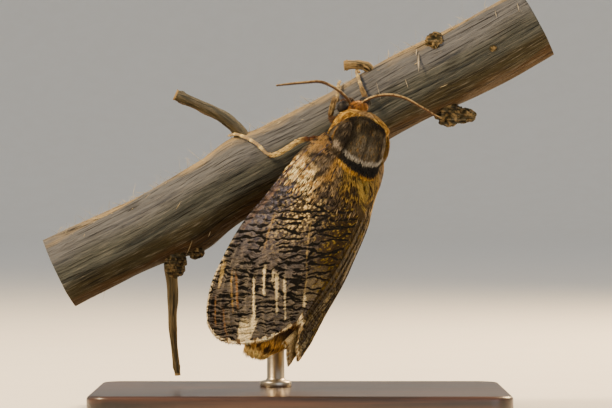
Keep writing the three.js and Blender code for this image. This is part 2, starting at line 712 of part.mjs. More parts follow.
for (const [name, side] of [['left', 1], ['right', -1]]) {
  moth.add(part(`eye_${name}`, geometryOf(solid(eyeGeometry(side))), FINISH.eye));
  const route = ANTENNA[name].map((p) => inMoth(vec(...p)));
  const antenna = solid(tube(route, ANTENNA.radii, { steps: 18, sides: 6 })).subtract(headRoom);
  moth.add(part(`antenna_${name}`, geometryOf(antenna), FINISH.antenna));
}

for (const [name, leg] of Object.entries(LEGS)) {
  const cut = solid(legTube(leg)).subtract(thoraxRoom).subtract(headRoom).subtract(perchRoom);
  moth.add(part(name, geometryOf(cut), FINISH.leg));
}

export default model;
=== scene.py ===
"""A goat moth at rest, head up, on a short length of dead branch over a display stand.

Lengths are in millimetres until a mesh is made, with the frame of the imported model: +Z up, the
origin under the middle of the base, and -Y the side that the moth's back faces. The moth has a
frame of its own: a runs from the middle of its thorax to its tail, b to its left and c up from
its long axis.
"""

import logging
import math
from collections.abc import Callable
from dataclasses import dataclass, field
from enum import Enum
from typing import ClassVar

import bpy
import numpy as np
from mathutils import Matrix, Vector


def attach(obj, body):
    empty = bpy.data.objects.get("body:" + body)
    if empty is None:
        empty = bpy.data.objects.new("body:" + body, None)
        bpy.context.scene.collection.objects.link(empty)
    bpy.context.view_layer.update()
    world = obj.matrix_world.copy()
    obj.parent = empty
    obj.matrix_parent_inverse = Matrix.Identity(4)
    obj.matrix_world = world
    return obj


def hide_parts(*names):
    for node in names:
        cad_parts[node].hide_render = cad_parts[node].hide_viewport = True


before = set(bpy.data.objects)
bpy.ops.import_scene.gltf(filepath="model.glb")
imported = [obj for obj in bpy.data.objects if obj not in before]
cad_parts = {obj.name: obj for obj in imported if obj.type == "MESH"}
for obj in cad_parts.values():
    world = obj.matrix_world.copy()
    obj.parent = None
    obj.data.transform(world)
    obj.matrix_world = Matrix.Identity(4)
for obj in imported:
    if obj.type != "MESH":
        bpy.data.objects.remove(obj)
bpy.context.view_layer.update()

METRES = 0.001
LOG = logging.getLogger("goat_moth")

Array = np.ndarray
Layer = tuple[str, Array | float]
Surface = Callable[[Array, Array], Array]
Socket = bpy.types.NodeSocket


# ---- curves and noise


def graded(table: tuple, key: Array) -> Array:
    """A value that follows straight lines through (key, value) pairs."""
    keys, values = zip(*table)
    return np.interp(key, keys, values)


def shares(count: int) -> Array:
    """Even shares of a way, from 0 to 1."""
    return np.linspace(0, 1, count)


def lengths(vectors: Array) -> Array:
    """The length of each vector."""
    return np.linalg.norm(vectors, axis=-1)


def spline(points: tuple, share: Array) -> Array:
    """A uniform Catmull-Rom curve: the cubic whose end slopes are half the neighbours' chord.

    Args:
        points: The points that the curve passes through.
        share: Shares of the way from the first point to the last, 0 to 1.

    Returns:
        One point per share.
    """
    p = np.asarray(points, float)
    last = len(p) - 1
    place = np.clip(np.asarray(share, float), 0, 1) * last
    i = np.minimum(place.astype(int), last)
    w = (place - i)[..., None]
    p0, p1 = p[np.maximum(i - 1, 0)], p[i]
    p2, p3 = p[np.minimum(i + 1, last)], p[np.minimum(i + 2, last)]
    v0, v1 = (p2 - p0) / 2, (p3 - p1) / 2
    return (2 * (p1 - p2) + v0 + v1) * w**3 + (3 * (p2 - p1) - 2 * v0 - v1) * w**2 + v0 * w + p1


def curved(table: tuple, key: Array) -> Array:
    """As graded, but rounded at each pair by a Catmull-Rom curve."""
    dense = spline(table, shares(len(table) * 12 + 1))
    return np.interp(key, dense[:, 0], dense[:, 1])


def at_shares(dense: Array, share: Array) -> Array:
    """Points at shares of the length of a finely sampled curve.

    Args:
        dense: The curve's points.
        share: Shares of its length, 0 to 1.

    Returns:
        One point per share.
    """
    steps = lengths(np.diff(dense, axis=0))
    length = np.concatenate([[0], np.cumsum(steps)])
    place = np.asarray(share) * length[-1]
    return np.stack([np.interp(place, length, column) for column in dense.T], -1)


def by_length(points: tuple, share: Array) -> Array:
    """Points at shares of the length of a uniform Catmull-Rom curve."""
    return at_shares(spline(points, shares(401)), share)


def centripetal(route: tuple, share: Array) -> Array:
    """Points at shares of the length of a centripetal Catmull-Rom curve, whose knots are
    spaced by the root of the chord.

    Args:
        route: The points that the curve passes through. Each end is reflected past itself.
        share: Shares of the length, 0 to 1.

    Returns:
        One point per share.
    """
    route = np.asarray(route, float)
    p = np.vstack([2 * route[0] - route[1], route, 2 * route[-1] - route[-2]])
    t = np.linspace(0, len(route) - 1, 401)
    i = np.minimum(t.astype(int), len(route) - 2)
    w = (t - i)[:, None]
    p0, p1, p2, p3 = p[i], p[i + 1], p[i + 2], p[i + 3]
    d0, d1, d2 = (lengths(q - r)[:, None] ** 0.5 for q, r in ((p0, p1), (p1, p2), (p2, p3)))
    m1 = ((p1 - p0) / d0 - (p2 - p0) / (d0 + d1) + (p2 - p1) / d1) * d1
    m2 = ((p2 - p1) / d1 - (p3 - p1) / (d1 + d2) + (p3 - p2) / d2) * d1
    dense = (2 * (p1 - p2) + m1 + m2) * w**3 + (3 * (p2 - p1) - 2 * m1 - m2) * w**2 + m1 * w + p1
    return at_shares(dense, share)


def vec(*parts: Array | float) -> Array:
    """Places from their coordinates, which may be arrays or numbers."""
    return np.stack(np.broadcast_arrays(*parts), -1)


def lattice(rows: Array, columns: Array) -> list[Array]:
    """Each row's value with each column's, as two grids."""
    return np.meshgrid(rows, columns, indexing="ij")


def turns(count: int) -> Array:
    """Angles spread evenly round a circle."""
    return np.linspace(0, 2 * math.pi, count, endpoint=False)


def unit(vectors: Array) -> Array:
    """Vectors scaled to length one."""
    return vectors / np.maximum(lengths(vectors)[..., None], 1e-9)


def smooth(low: float, high: float, value: Array) -> Array:
    """A smooth step from 0 at low to 1 at high. With low above high it falls instead."""
    t = np.clip((value - low) / (high - low), 0, 1)
    return t * t * (3 - 2 * t)


def bell(value: Array, centre: Array | float, width: float) -> Array:
    """A bell curve of the distance from a centre."""
    return np.exp(-(((value - centre) / width) ** 2))


def hashed(cells: Array, seed: int) -> Array:
    """A fixed random number from 0 to 1 for each row of whole numbers.

    Args:
        cells: Rows of whole numbers.
        seed: Which random numbers.

    Returns:
        One number per row.
    """
    x = cells.astype(np.int64).astype(np.uint64)
    mixed = np.full(x.shape[:-1], np.uint64(seed * 2654435761 + 12345))
    for axis in range(x.shape[-1]):
        mixed = (mixed ^ x[..., axis]) * np.uint64(0x9E3779B97F4A7C15)
        mixed ^= mixed >> np.uint64(29)
    return (mixed >> np.uint64(40)).astype(float) / float(1 << 24)


def cloud(points: Array, size: float, seed: int, octaves: int = 1) -> Array:
    """Smooth noise from 0 to 1: random numbers on a lattice, blended between its corners.

    Args:
        points: Places, in any number of dimensions along the last axis.
        size: Spacing of the lattice.
        seed: Which noise.
        octaves: How many layers, each half the size and half the strength of the last.

    Returns:
        One value for each place.
    """
    total, weight = np.zeros(points.shape[:-1]), 0.0
    for octave in range(octaves):
        place = points / (size / 2**octave)
        base = np.floor(place)
        share = place - base
        share = share * share * (3 - 2 * share)
        value = np.zeros(points.shape[:-1])
        for corner in np.ndindex(*(2,) * points.shape[-1]):
            offset = np.array(corner)
            part = np.prod(np.where(offset == 1, share, 1 - share), axis=-1)
            value += part * hashed(base + offset, seed + octave)
        total += value / 2**octave
        weight += 1 / 2**octave
    return total / weight


# ---- colours


def tint(code: str) -> Array:
    """The linear colour of a hexadecimal code such as "c8a060"."""
    value = np.array([int(code[i : i + 2], 16) for i in (0, 2, 4)]) / 255
    return np.where(value <= 0.04045, value / 12.92, ((value + 0.055) / 1.055) ** 2.4)


def rgba(code: str) -> tuple:
    """As tint, with a fourth value of one."""
    return (*tint(code), 1.0)


def laid_over(tone: Array, *layers: Layer) -> Array:
    """Colours with others laid over them, each as thickly as its mask says.

    Args:
        tone: Linear colours.
        layers: Pairs of a hexadecimal code and a mask.

    Returns:
        Linear colours.
    """
    for code, mask in layers:
        mask = np.clip(mask, 0, 1)[..., None]
        tone = tone * (1 - mask) + tint(code) * mask
    return tone


def painted(like: Array, ground: str, *layers: Layer) -> Array:
    """Colours in layers over an even ground, one for each value of an array."""
    return laid_over(np.broadcast_to(tint(ground), (*like.shape, 3)), *layers)


def varied(tone: Array, seed: int, low: float, high: float) -> Array:
    """Colours that are each made darker or lighter at random."""
    return tone * np.random.default_rng(seed).uniform(low, high, (len(tone), 1))


# ---- meshes


@dataclass
class Shell:
    """Points and faces of a mesh in the making, with values at its points."""

    points: Array
    faces: list[Array]
    colour: Array | None = None
    values: dict[str, Array] = field(default_factory=dict)
    flat: Array | None = None

    @staticmethod
    def joined(shells: list["Shell"]) -> "Shell":
        """Several shells as one, with the same values at the points of each.

        Args:
            shells: At least one shell.

        Returns:
            One shell, with the parts in the same order.
        """
        faces, start, first = [], 0, shells[0]
        for shell in shells:
            faces += [part + start for part in shell.faces]
            start += len(shell.points)
        return Shell(
            np.concatenate([s.points for s in shells]),
            faces,
            None if first.colour is None else np.concatenate([s.colour for s in shells]),
            {name: np.concatenate([s.values[name] for s in shells]) for name in first.values},
            None if first.flat is None else np.concatenate([s.flat for s in shells]),
        )

    def mesh(self, name: str, map_name: str = "OFBake", scale: float = METRES) -> bpy.types.Mesh:
        """The shell as a Blender mesh.

        Args:
            name: The mesh's name.
            map_name: The name of its UV map, made where the shell has flat places.
            scale: Blender's units in one of the shell's.

        Returns:
            A smooth-shaded mesh with a colour attribute "tone" and one attribute per value.
        """
        mesh = bpy.data.meshes.new(name)
        sizes = np.concatenate([np.full(len(part), part.shape[1]) for part in self.faces])
        corners = np.concatenate([part.ravel() for part in self.faces])
        mesh.vertices.add(len(self.points))
        mesh.vertices.foreach_set("co", (self.points * scale).ravel())
        mesh.loops.add(len(corners))
        mesh.loops.foreach_set("vertex_index", corners)
        mesh.polygons.add(len(sizes))
        mesh.polygons.foreach_set("loop_start", np.concatenate([[0], np.cumsum(sizes)[:-1]]))
        mesh.update(calc_edges=True)
        mesh.polygons.foreach_set("use_smooth", np.ones(len(sizes), bool))
        if self.colour is not None:
            tone = mesh.color_attributes.new("tone", "FLOAT_COLOR", "POINT")
            tone.data.foreach_set("color", np.column_stack([self.colour, np.ones(len(self.colour))]).ravel())
        for key, value in self.values.items():
            mesh.attributes.new(key, "FLOAT", "POINT").data.foreach_set("value", value.ravel())
        if self.flat is not None:
            mesh.uv_layers.new(name=map_name).data.foreach_set("uv", self.flat[corners].ravel())
        mesh.validate()
        return mesh

    def outward(self) -> "Shell":
        """The shell with its faces turned to point out, by the volume that they enclose.

        Returns:
            The same shell.
        """
        volume = 0.0
        for part in self.faces:
            corner = self.points[part]
            for k in range(1, part.shape[1] - 1):
                volume += np.einsum("ij,ij->", corner[:, 0], np.cross(corner[:, k], corner[:, k + 1]))
        if volume < 0:
            self.faces = [part[:, ::-1] for part in self.faces]
        return self


def grid_faces(rows: int, columns: int, closed: bool = False) -> Array:
    """The four-sided faces of a grid of points, row by row. A closed grid joins its last
    column to its first.

    Args:
        rows: Rows of points.
        columns: Points in a row.
        closed: Whether each row is a ring.

    Returns:
        The faces' corners.
    """
    i, j = lattice(np.arange(rows - 1), np.arange(columns if closed else columns - 1))
    after = (j + 1) % columns
    quad = [i * columns + j, i * columns + after, (i + 1) * columns + after, (i + 1) * columns + j]
    return np.stack(quad, -1).reshape(-1, 4)


def loft(rings: Array, tone: Array | None = None, **values: Array) -> Shell:
    """A tube of rings of points, with each end closed by a fan to its middle.

    Args:
        rings: Points, as rows by columns by three.
        tone: Colours at the rings' points. The middles take those of their first points.
        values: Values at the rings' points, or anything that spreads over rows by columns.

    Returns:
        The closed shell.
    """
    rows, columns = rings.shape[:2]
    values = {key: np.broadcast_to(at, (rows, columns)) for key, at in values.items()}
    j = np.arange(columns)
    after, top = (j + 1) % columns, (rows - 1) * columns
    fans = [vec(rows * columns, after, j), vec(rows * columns + 1, top + j, top + after)]
    shell = Shell(
        np.concatenate([rings.reshape(-1, 3), rings[[0, -1]].mean(axis=1)]),
        [grid_faces(rows, columns, closed=True), *fans],
        values={key: np.concatenate([at.ravel(), at[[0, -1]].mean(axis=1)]) for key, at in values.items()},
    )
    if tone is not None:
        tone = np.broadcast_to(tone, rings.shape).reshape(-1, 3)
        shell.colour = np.concatenate([tone, tone[[0, -1]]])
    return shell.outward()


def frames_along(route: Array) -> tuple[Array, Array, Array]:
    """Directions at each point of a route: along it, to a side that is carried on without
    spinning, and their cross product.

    Args:
        route: Points along the route.

    Returns:
        Three unit vectors for each point.
    """
    along = unit(np.gradient(route, axis=0))
    side = np.empty_like(along)
    start = np.array([0.0, 0.0, 1.0]) if abs(along[0, 2]) < 0.8 else np.array([1.0, 0.0, 0.0])
    side[0] = unit(np.cross(np.cross(along[0], start), along[0]))
    for i in range(1, len(route)):
        carried = side[i - 1] - along[i] * np.dot(side[i - 1], along[i])
        side[i] = carried / np.linalg.norm(carried)
    return along, side, np.cross(along, side)


def tube_rings(route: Array, radius: Array, sides: int) -> Array:
    """Rings round a route: each point is the centre plus the radius times a turning side.

    Args:
        route: The centre of each ring.
        radius: The radius of each ring, or of each point as rings by sides.
        sides: How many points in a ring.

    Returns:
        Points, as rings by sides by three.
    """
    _, side, up = frames_along(route)
    angle = turns(sides)[:, None]
    radius = np.broadcast_to(radius.reshape(len(route), -1), (len(route), sides))[..., None]
    return route[:, None] + radius * (side[:, None] * np.cos(angle) + up[:, None] * np.sin(angle))


def spike(points: list, root: float, tip: float) -> Shell:
    """A curved spike through points, from its root's radius to its tip's."""
    return loft(tube_rings(centripetal(points, shares(8)), np.linspace(root, tip, 8), 7))


@dataclass(frozen=True)
class Ball:
    """An ellipsoid: its middle, half its size along each axis, its axes, one in each row, and
    how much of each end its surface leaves out."""

    centre: Array
    semi: tuple
    axes: Array
    cap: float = 0.01

    def at(self, polar: Array, first: Array, second: Array) -> Array:
        """Places by the polar angle from the first axis, and the cosine and sine round it."""
        local = vec(np.cos(polar), np.sin(polar) * first, np.sin(polar) * second)
        return self.centre + (local * np.array(self.semi)) @ self.axes

    def shell(self, rows: int = 24, columns: int = 32) -> Shell:
        """The ellipsoid as rings from pole to pole."""
        polar, turn = lattice(np.linspace(0.02, math.pi - 0.02, rows), turns(columns))
        return loft(self.at(polar, np.cos(turn), np.sin(turn)))

    def surface(self, p: Array, q: Array) -> Array:
        """Places for p from the front to the back and q round from the third axis."""
        polar, turn = math.pi * np.clip(p, self.cap, 1 - self.cap), 2 * math.pi * q
        return self.at(polar, np.sin(turn), np.cos(turn))


def placed(name: str, data: bpy.types.ID) -> bpy.types.Object:
    """Puts a new object in the scene.

    Args:
        name: Its name.
        data: Its mesh, light or camera.

    Returns:
        The object, at the origin.
    """
    item = bpy.data.objects.new(name, data)
    bpy.context.scene.collection.objects.link(item)
    return item


def shrunk(semi: tuple, inset: float) -> tuple:
    """A ball's half sizes, less an inset."""
    return tuple(size - inset for size in semi)


def piece(
    name: str, shell: Shell, finish: "Finish", slot: str, *nodes: str, map_name: str = "OFBake"
) -> None:
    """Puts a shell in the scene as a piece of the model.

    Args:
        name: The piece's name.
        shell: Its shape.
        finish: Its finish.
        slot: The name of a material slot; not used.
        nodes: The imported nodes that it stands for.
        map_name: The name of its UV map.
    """
    mesh = shell.mesh(name, map_name)
    item = placed(name, mesh)
    mesh.materials.append(finish.material())
    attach(item, "root")
    if nodes:
        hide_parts(*nodes)
    LOG.info("%s: %d faces", name, len(mesh.polygons))


# ---- shader graphs


class Graph:
    """Adds and links the nodes of one shader tree."""

    def __init__(self, tree: bpy.types.NodeTree) -> None:
        """Starts with an empty tree."""
        self.tree = tree
        tree.nodes.clear()

    def feed(self, socket: Socket, value: object) -> None:
        """Links a socket to a value that is a socket, or sets it to a plain value.

        Args:
            socket: An input.
            value: A socket or a plain value.
        """
        if isinstance(value, Socket):
            self.tree.links.new(value, socket)
        else:
            socket.default_value = value

    def add(self, kind: str, inputs: dict | None = None, **settings: object) -> bpy.types.Node:
        """Adds a node.

        Args:
            kind: Its type, without the leading ShaderNode.
            inputs: What feeds its sockets, by name or number.
            settings: Its properties.

        Returns:
            The node.
        """
        node = self.tree.nodes.new(kind if kind.startswith("Node") else "ShaderNode" + kind)
        for key, value in settings.items():
            setattr(node, key, value)
        for key, value in (inputs or {}).items():
            self.feed(node.inputs[key], value)
        return node

    def math(self, operation: str, first: object, second: object = 0.0, third: object = 0.0) -> Socket:
        """One Math node."""
        return self.add("Math", {0: first, 1: second, 2: third}, operation=operation).outputs[0]

    def times(self, first: object, second: object) -> Socket:
        """The product of two numbers."""
        return self.math("MULTIPLY", first, second)

    def step(self, value: Socket, low: float, high: float) -> Socket:
        """A smooth step from 0 at low to 1 at high."""
        inputs = {"Value": value, "From Min": low, "From Max": high}
        return self.add("MapRange", inputs, interpolation_type="SMOOTHSTEP").outputs[0]

    def span(self, value: Socket, low: float, high: float) -> Socket:
        """A value from 0 to 1 stretched to run from low to high."""
        return self.add("MapRange", {"Value": value, "To Min": low, "To Max": high}).outputs[0]

    def mix(self, share: object, first: object, second: object, blend: str = "MIX") -> Socket:
        """Mixes two colours. A colour may be a hexadecimal code.

        Args:
            share: How much of the second.
            first: A colour.
            second: Another colour.
            blend: Blender's name for how they mix.

        Returns:
            The mixed colour.
        """
        first, second = (rgba(tone) if isinstance(tone, str) else tone for tone in (first, second))
        inputs = {0: share, 6: first, 7: second}
        return self.add("Mix", inputs, data_type="RGBA", blend_type=blend).outputs[2]

    def shaded(self, colour: Socket, shade: Socket) -> Socket:
        """A colour times a number."""
        grey = self.add("CombineColor", {0: shade, 1: shade, 2: shade}).outputs[0]
        return self.mix(1.0, colour, grey, "MULTIPLY")

    def noise(self, vector: Socket, scale: float, detail: float = 2.0, roughness: float = 0.5) -> Socket:
        """Noise from 0 to 1 over a vector."""
        inputs = {"Vector": vector, "Scale": scale, "Detail": detail, "Roughness": roughness}
        return self.add("TexNoise", inputs).outputs[0]

    def stretched(self, vector: Socket, factors: tuple) -> Socket:
        """A vector scaled by a factor along each axis."""
        return self.add("VectorMath", {0: vector, 1: factors}, operation="MULTIPLY").outputs[0]

    def value(self, name: str) -> Socket:
        """A number that the mesh carries at its points."""
        return self.add("Attribute", attribute_name=name).outputs["Fac"]

    def tone(self) -> Socket:
        """The colour that the mesh carries at its points."""
        return self.add("Attribute", attribute_name="tone").outputs["Color"]

    def place(self) -> Socket:
        """The place on the object, in millimetres."""
        return self.stretched(self.add("TexCoord").outputs["Object"], (1000, 1000, 1000))

    def bump(self, height: Socket, depth: float) -> Socket:
        """A normal bent by a height, with its depth in millimetres."""
        return self.add("Bump", {"Height": height, "Distance": depth * METRES, "Strength": 1.0}).outputs[0]

    def surface(
        self, colour: Socket, roughness: object, normal: Socket | None = None, **constants: float
    ) -> None:
        """Ends a material with a Principled BSDF.

        Args:
            colour: Base colour.
            roughness: A number or a socket.
            normal: A bent normal.
            constants: Other sockets of the shader, with underscores for spaces.
        """
        shader = self.add("BsdfPrincipled", {"Base Color": colour, "Roughness": roughness})
        if normal is not None:
            self.feed(shader.inputs["Normal"], normal)
        for key, value in constants.items():
            shader.inputs[key.replace("_", " ")].default_value = value
        self.add("OutputMaterial", {0: shader.outputs[0]})


def effect(
    name: str, inputs: dict[str, float | None], outputs: list[str]
) -> tuple[Graph, dict, bpy.types.Node]:
    """Starts a shader node group.

    Args:
        name: The group's name.
        inputs: Input names with their defaults. None makes a vector input.
        outputs: Output names, each a number.

    Returns:
        The group's graph, its input sockets by name, and its output node.
    """
    tree = bpy.data.node_groups.new(name, "ShaderNodeTree")
    for key, default in inputs.items():
        kind = "NodeSocketVector" if default is None else "NodeSocketFloat"
        socket = tree.interface.new_socket(key, in_out="INPUT", socket_type=kind)
        if default is not None:
            socket.default_value = default
    for key in outputs:
        tree.interface.new_socket(key, in_out="OUTPUT", socket_type="NodeSocketFloat")
    graph = Graph(tree)
    entry = graph.add("NodeGroupInput")
    return graph, {key: entry.outputs[key] for key in inputs}, graph.add("NodeGroupOutput")


def scale_grain() -> bpy.types.NodeTree:
    """The grain of overlapping scales: fine cells with their edges sunk, and a slower mottle.

    Returns:
        The group, with the inputs Place and Size and the outputs Tone and Height.
    """
    graph, given, out = effect("scale grain", {"Place": None, "Size": 0.12}, ["Tone", "Height"])
    inputs = {"Vector": given["Place"], "Scale": graph.math("DIVIDE", 1.0, given["Size"])}
    cells = graph.add("TexVoronoi", inputs, feature="F1").outputs["Distance"]
    mottle = graph.noise(given["Place"], 3.0, 3.0, 0.6)
    tone = graph.math("MULTIPLY_ADD", cells, -0.55, 0.75)
    graph.feed(out.inputs["Tone"], graph.times(tone, graph.span(mottle, 0.7, 1.3)))
    graph.feed(out.inputs["Height"], graph.math("SUBTRACT", 1.0, cells))
    return graph.tree


def wood_fibre() -> bpy.types.NodeTree:
    """The fibres of wood: noise drawn out along the grain, at two widths, with sharp checks.

    Returns:
        The group, with the inputs Grain (x along the fibres, y across them) and Width and the
        outputs Streak, Check and Height.
    """
    graph, given, out = effect("wood fibre", {"Grain": None, "Width": 0.3}, ["Streak", "Check", "Height"])
    rate = graph.math("DIVIDE", 1.0, given["Width"])
    broad = graph.noise(graph.stretched(given["Grain"], (0.035, 0.5, 1)), rate, 4.0, 0.6)
    fine = graph.noise(graph.stretched(given["Grain"], (0.06, 1.6, 1)), rate, 3.0, 0.6)
    streak = graph.math("ADD", graph.times(broad, 0.6), graph.times(fine, 0.4))
    sparse = graph.noise(graph.stretched(given["Grain"], (0.025, 0.8, 1)), rate, 2.0, 0.4)
    check = graph.step(sparse, 0.60, 0.68)
    graph.feed(out.inputs["Streak"], streak)
    graph.feed(out.inputs["Check"], check)
    graph.feed(out.inputs["Height"], graph.math("SUBTRACT", streak, graph.times(check, 0.6)))
    return graph.tree


class Effects:
    """The node groups that more than one finish uses, each made when it is first wanted."""

    made: ClassVar[dict[str, bpy.types.NodeTree]] = {}

    @classmethod
    def use(cls, graph: Graph, build: Callable[[], bpy.types.NodeTree], **inputs: object) -> dict:
        """Places a group in a graph with its own inputs, and gives its outputs.

        Args:
            graph: The graph.
            build: The function that makes the group.
            inputs: Its inputs.

        Returns:
            Its outputs by name.
        """
        if build.__name__ not in cls.made:
            cls.made[build.__name__] = build()
        return graph.add("Group", inputs, node_tree=cls.made[build.__name__]).outputs


# ---- finishes


@dataclass(frozen=True)
class Finish:
    """A finish with a name. Each kind draws its own graph."""

    name: str

    def material(self) -> bpy.types.Material:
        """The finish as a material, made once.

        Returns:
            The material.
        """
        found = bpy.data.materials.get(self.name)
        if found:
            return found
        made = bpy.data.materials.new(self.name)
        made.use_nodes = True
        self.draw(Graph(made.node_tree))
        return made

    def draw(self, graph: Graph) -> None:
        """Draws the finish's nodes."""
        raise NotImplementedError


@dataclass(frozen=True)
class FurFinish(Finish):
    """Hair or long scales: the colour of the tufts, faintly glossy."""

    gloss: float = 0.25
    roughness: float = 0.6

    def draw(self, graph: Graph) -> None:
        """Colour from the tufts, varied by a fine noise."""
        shade = graph.span(graph.noise(graph.place(), 4.0), 0.8, 1.2)
        graph.surface(graph.shaded(graph.tone(), shade), self.roughness, Specular_IOR_Level=self.gloss)


@dataclass(frozen=True)
class SkinFinish(Finish):
    """Skin clad in short flat scales, in the colours that the mesh carries."""

    grain: float = 0.12
    depth: float = 0.05
    roughness: float = 0.75

    def draw(self, graph: Graph) -> None:
        """Colour from the mesh, darkened between the scales and raised on them.

        Args:
            graph: The material's graph.
        """
        grain = Effects.use(graph, scale_grain, Place=graph.place(), Size=self.grain)
        colour = graph.shaded(graph.tone(), graph.span(grain["Tone"], 0.55, 1.35))
        graph.surface(colour, self.roughness, graph.bump(grain["Height"], self.depth), Specular_IOR_Level=0.2)


@dataclass(frozen=True)
class WingFinish(Finish):
    """Wing scales: tinted cells with pale rims painted as highlights, parted by a web of black lines."""

    line: str = "030302"
    # Colour and strength of the painted rim highlight beside the lines.
    rim: str = "716b68"
    lit_rim_share: float = 0.4

    def draw(self, graph: Graph) -> None:
        """The web's field is the distance in millimetres outside the nearest line.

        Args:
            graph: The material's graph.
        """
        place = graph.place()
        grain = Effects.use(graph, scale_grain, Place=place, Size=0.2)
        rough = graph.math("SUBTRACT", graph.noise(place, 5.0), 0.5)
        web = graph.math("MULTIPLY_ADD", rough, 0.10, graph.value("web"))
        cell = graph.shaded(graph.tone(), graph.span(grain["Tone"], 0.15, 1.85))
        near = graph.times(graph.step(web, 0.02, 0.08), graph.step(web, 0.26, 0.12))
        # Painted highlight: a pale band just outside each line, standing for the lit rims of the cells.
        pale = graph.times(graph.times(near, self.lit_rim_share), graph.value("lit_rims"))
        inked = graph.times(graph.step(web, 0.05, -0.03), graph.value("inked"))
        colour = graph.mix(inked, graph.mix(pale, cell, self.rim), self.line)
        relief = graph.math("ADD", graph.step(web, -0.05, 0.26), graph.times(grain["Height"], 0.3))
        graph.surface(colour, 0.66, graph.bump(relief, 0.17), Specular_IOR_Level=0.12)


@dataclass(frozen=True)
class BarkFinish(Finish):
    """Weathered wood without its bark: blue grey with long streaks, with a tan top as painted
    light and a dark brown underside as painted shade.
    """

    # Painted light and shade: dark browns on the downward faces, bands lightening the wood as it faces up.
    under: str = "3c2a10"
    olive: str = "332d18"
    bands: tuple = ((0.22, 0.42, "444640"), (0.50, 0.80, "5f6063"), (0.90, 1.02, "a08c68"))
    light: str = "9a9284"
    dark: str = "17130e"
    check: str = "0e0b08"
    heart: tuple = ("80663c", "c2a672")

    def draw(self, graph: Graph) -> None:
        """Colour by how far a point faces up, as painted light and shade, streaked along the grain.

        Args:
            graph: The material's graph.
        """
        grain = graph.stretched(graph.add("UVMap", uv_map="grain").outputs[0], (100, 100, 1))
        fibre = Effects.use(graph, wood_fibre, Grain=grain, Width=0.22)
        fine = Effects.use(graph, wood_fibre, Grain=grain, Width=0.13)
        patchy = graph.noise(graph.stretched(grain, (0.10, 0.30, 1)), 1.0, 3.0)
        facing = graph.math("MULTIPLY_ADD", graph.math("SUBTRACT", patchy, 0.5), 0.3, graph.value("facing"))
        colour = graph.mix(graph.step(facing, 0.08, 0.18), self.under, self.olive)
        for low, high, code in self.bands:
            colour = graph.mix(graph.step(facing, low, high), colour, code)
        colour = graph.shaded(colour, graph.span(fibre["Streak"], 0.35, 1.65))
        colour = graph.mix(graph.times(graph.step(fine["Streak"], 0.52, 0.66), 0.35), colour, self.light)
        colour = graph.mix(graph.times(graph.step(fine["Streak"], 0.46, 0.38), 0.75), colour, self.dark)
        colour = graph.mix(graph.times(fibre["Check"], 0.8), colour, self.check)
        colour = graph.mix(graph.value("cut"), colour, graph.mix(fine["Streak"], *self.heart))
        height = graph.math("ADD", fibre["Height"], graph.times(fine["Height"], 0.5))
        graph.surface(colour, 0.75, graph.bump(height, 0.4), Specular_IOR_Level=0.2)


@dataclass(frozen=True)
class StainedWood(Finish):
    """Dark stained wood with a satin lacquer."""

    dark: str = "1d120c"
    light: str = "4a2c1a"

    def draw(self, graph: Graph) -> None:
        """Fibres along x under a thin coat.

        Args:
            graph: The material's graph.
        """
        fibre = Effects.use(graph, wood_fibre, Grain=graph.place(), Width=1.6)
        colour = graph.mix(graph.step(fibre["Streak"], 0.35, 0.65), self.dark, self.light)
        gloss, normal = graph.span(fibre["Streak"], 0.32, 0.48), graph.bump(fibre["Height"], 0.06)
        graph.surface(colour, gloss, normal, Coat_Weight=0.4, Coat_Roughness=0.18)


@dataclass(frozen=True)
class BrushedMetal(Finish):
    """Metal brushed round its length."""

    bright: str = "b5aa98"
    dull: str = "6e6557"

    def draw(self, graph: Graph) -> None:
        """Roughness drawn out round the rod.

        Args:
            graph: The material's graph.
        """
        brush = graph.noise(graph.stretched(graph.place(), (0.3, 0.3, 9.0)), 1.0, 3.0)
        colour = graph.mix(graph.span(brush, 0.0, 0.3), self.bright, self.dull)
        graph.surface(colour, graph.span(brush, 0.22, 0.42), graph.bump(brush, 0.01), Metallic=1.0)


@dataclass(frozen=True)
class EyeFinish(Finish):
    """A compound eye: a dark lens of fine facets."""

    def draw(self, graph: Graph) -> None:
        """Facets as close cells, darkest at their edges.

        Args:
            graph: The material's graph.
        """
        cells = graph.add("TexVoronoi", {"Vector": graph.place(), "Scale": 11.0}, feature="DISTANCE_TO_EDGE")
        height = graph.step(cells.outputs[0], 0.0, 0.25)
        colour = graph.mix(height, "030201", "140903")
        graph.surface(colour, 0.35, graph.bump(height, 0.012), Specular_IOR_Level=0.25)


@dataclass(frozen=True)
class HornFinish(Finish):
    """Dark polished horn of claws and spurs."""

    def draw(self, graph: Graph) -> None:
        """Brown with a slow mottle."""
        graph.surface(graph.mix(graph.noise(graph.place(), 2.0), "2a140a", "5a3018"), 0.35)


@dataclass(frozen=True)
class PlainFloor(Finish):
    """A pale matt floor."""

    def draw(self, graph: Graph) -> None:
        """One pale tone with the faintest grain."""
        faint = graph.noise(graph.add("TexCoord").outputs["Object"], 60.0)
        graph.surface(graph.mix(faint, "f1eee8", "f6f4ef"), 0.9)


FUR = FurFinish("moth fur")
SKIN = SkinFinish("moth skin")
FEELER = SkinFinish("feeler scales", grain=0.07, depth=0.02, roughness=0.55)


# ---- moth's own frame


@dataclass(frozen=True)
class Pose:
    """Where the moth rests and how it is turned."""

    origin: tuple = (9.17, -9.8, 44.33)
    tilt: float = 20
    pitch: float = 5
    roll: float = 36

    def axes(self) -> Array:
        """The moth's forward, left and upward directions, one in each row.

        Returns:
            Three unit vectors.
        """
        tilt, pitch, roll = np.radians([self.tilt, self.pitch, self.roll])
        level = math.cos(pitch)
        forward = np.array([math.sin(tilt) * level, -math.sin(pitch), math.cos(tilt) * level])
        right = np.array([math.cos(tilt), 0, -math.sin(tilt)])
        dorsal = np.cross(right, forward) * math.cos(roll) + right * math.sin(roll)
        return np.array([forward, np.cross(dorsal, forward), dorsal])


POSE = Pose()
AXES = POSE.axes()
FORWARD, LEFT, DORSAL = AXES


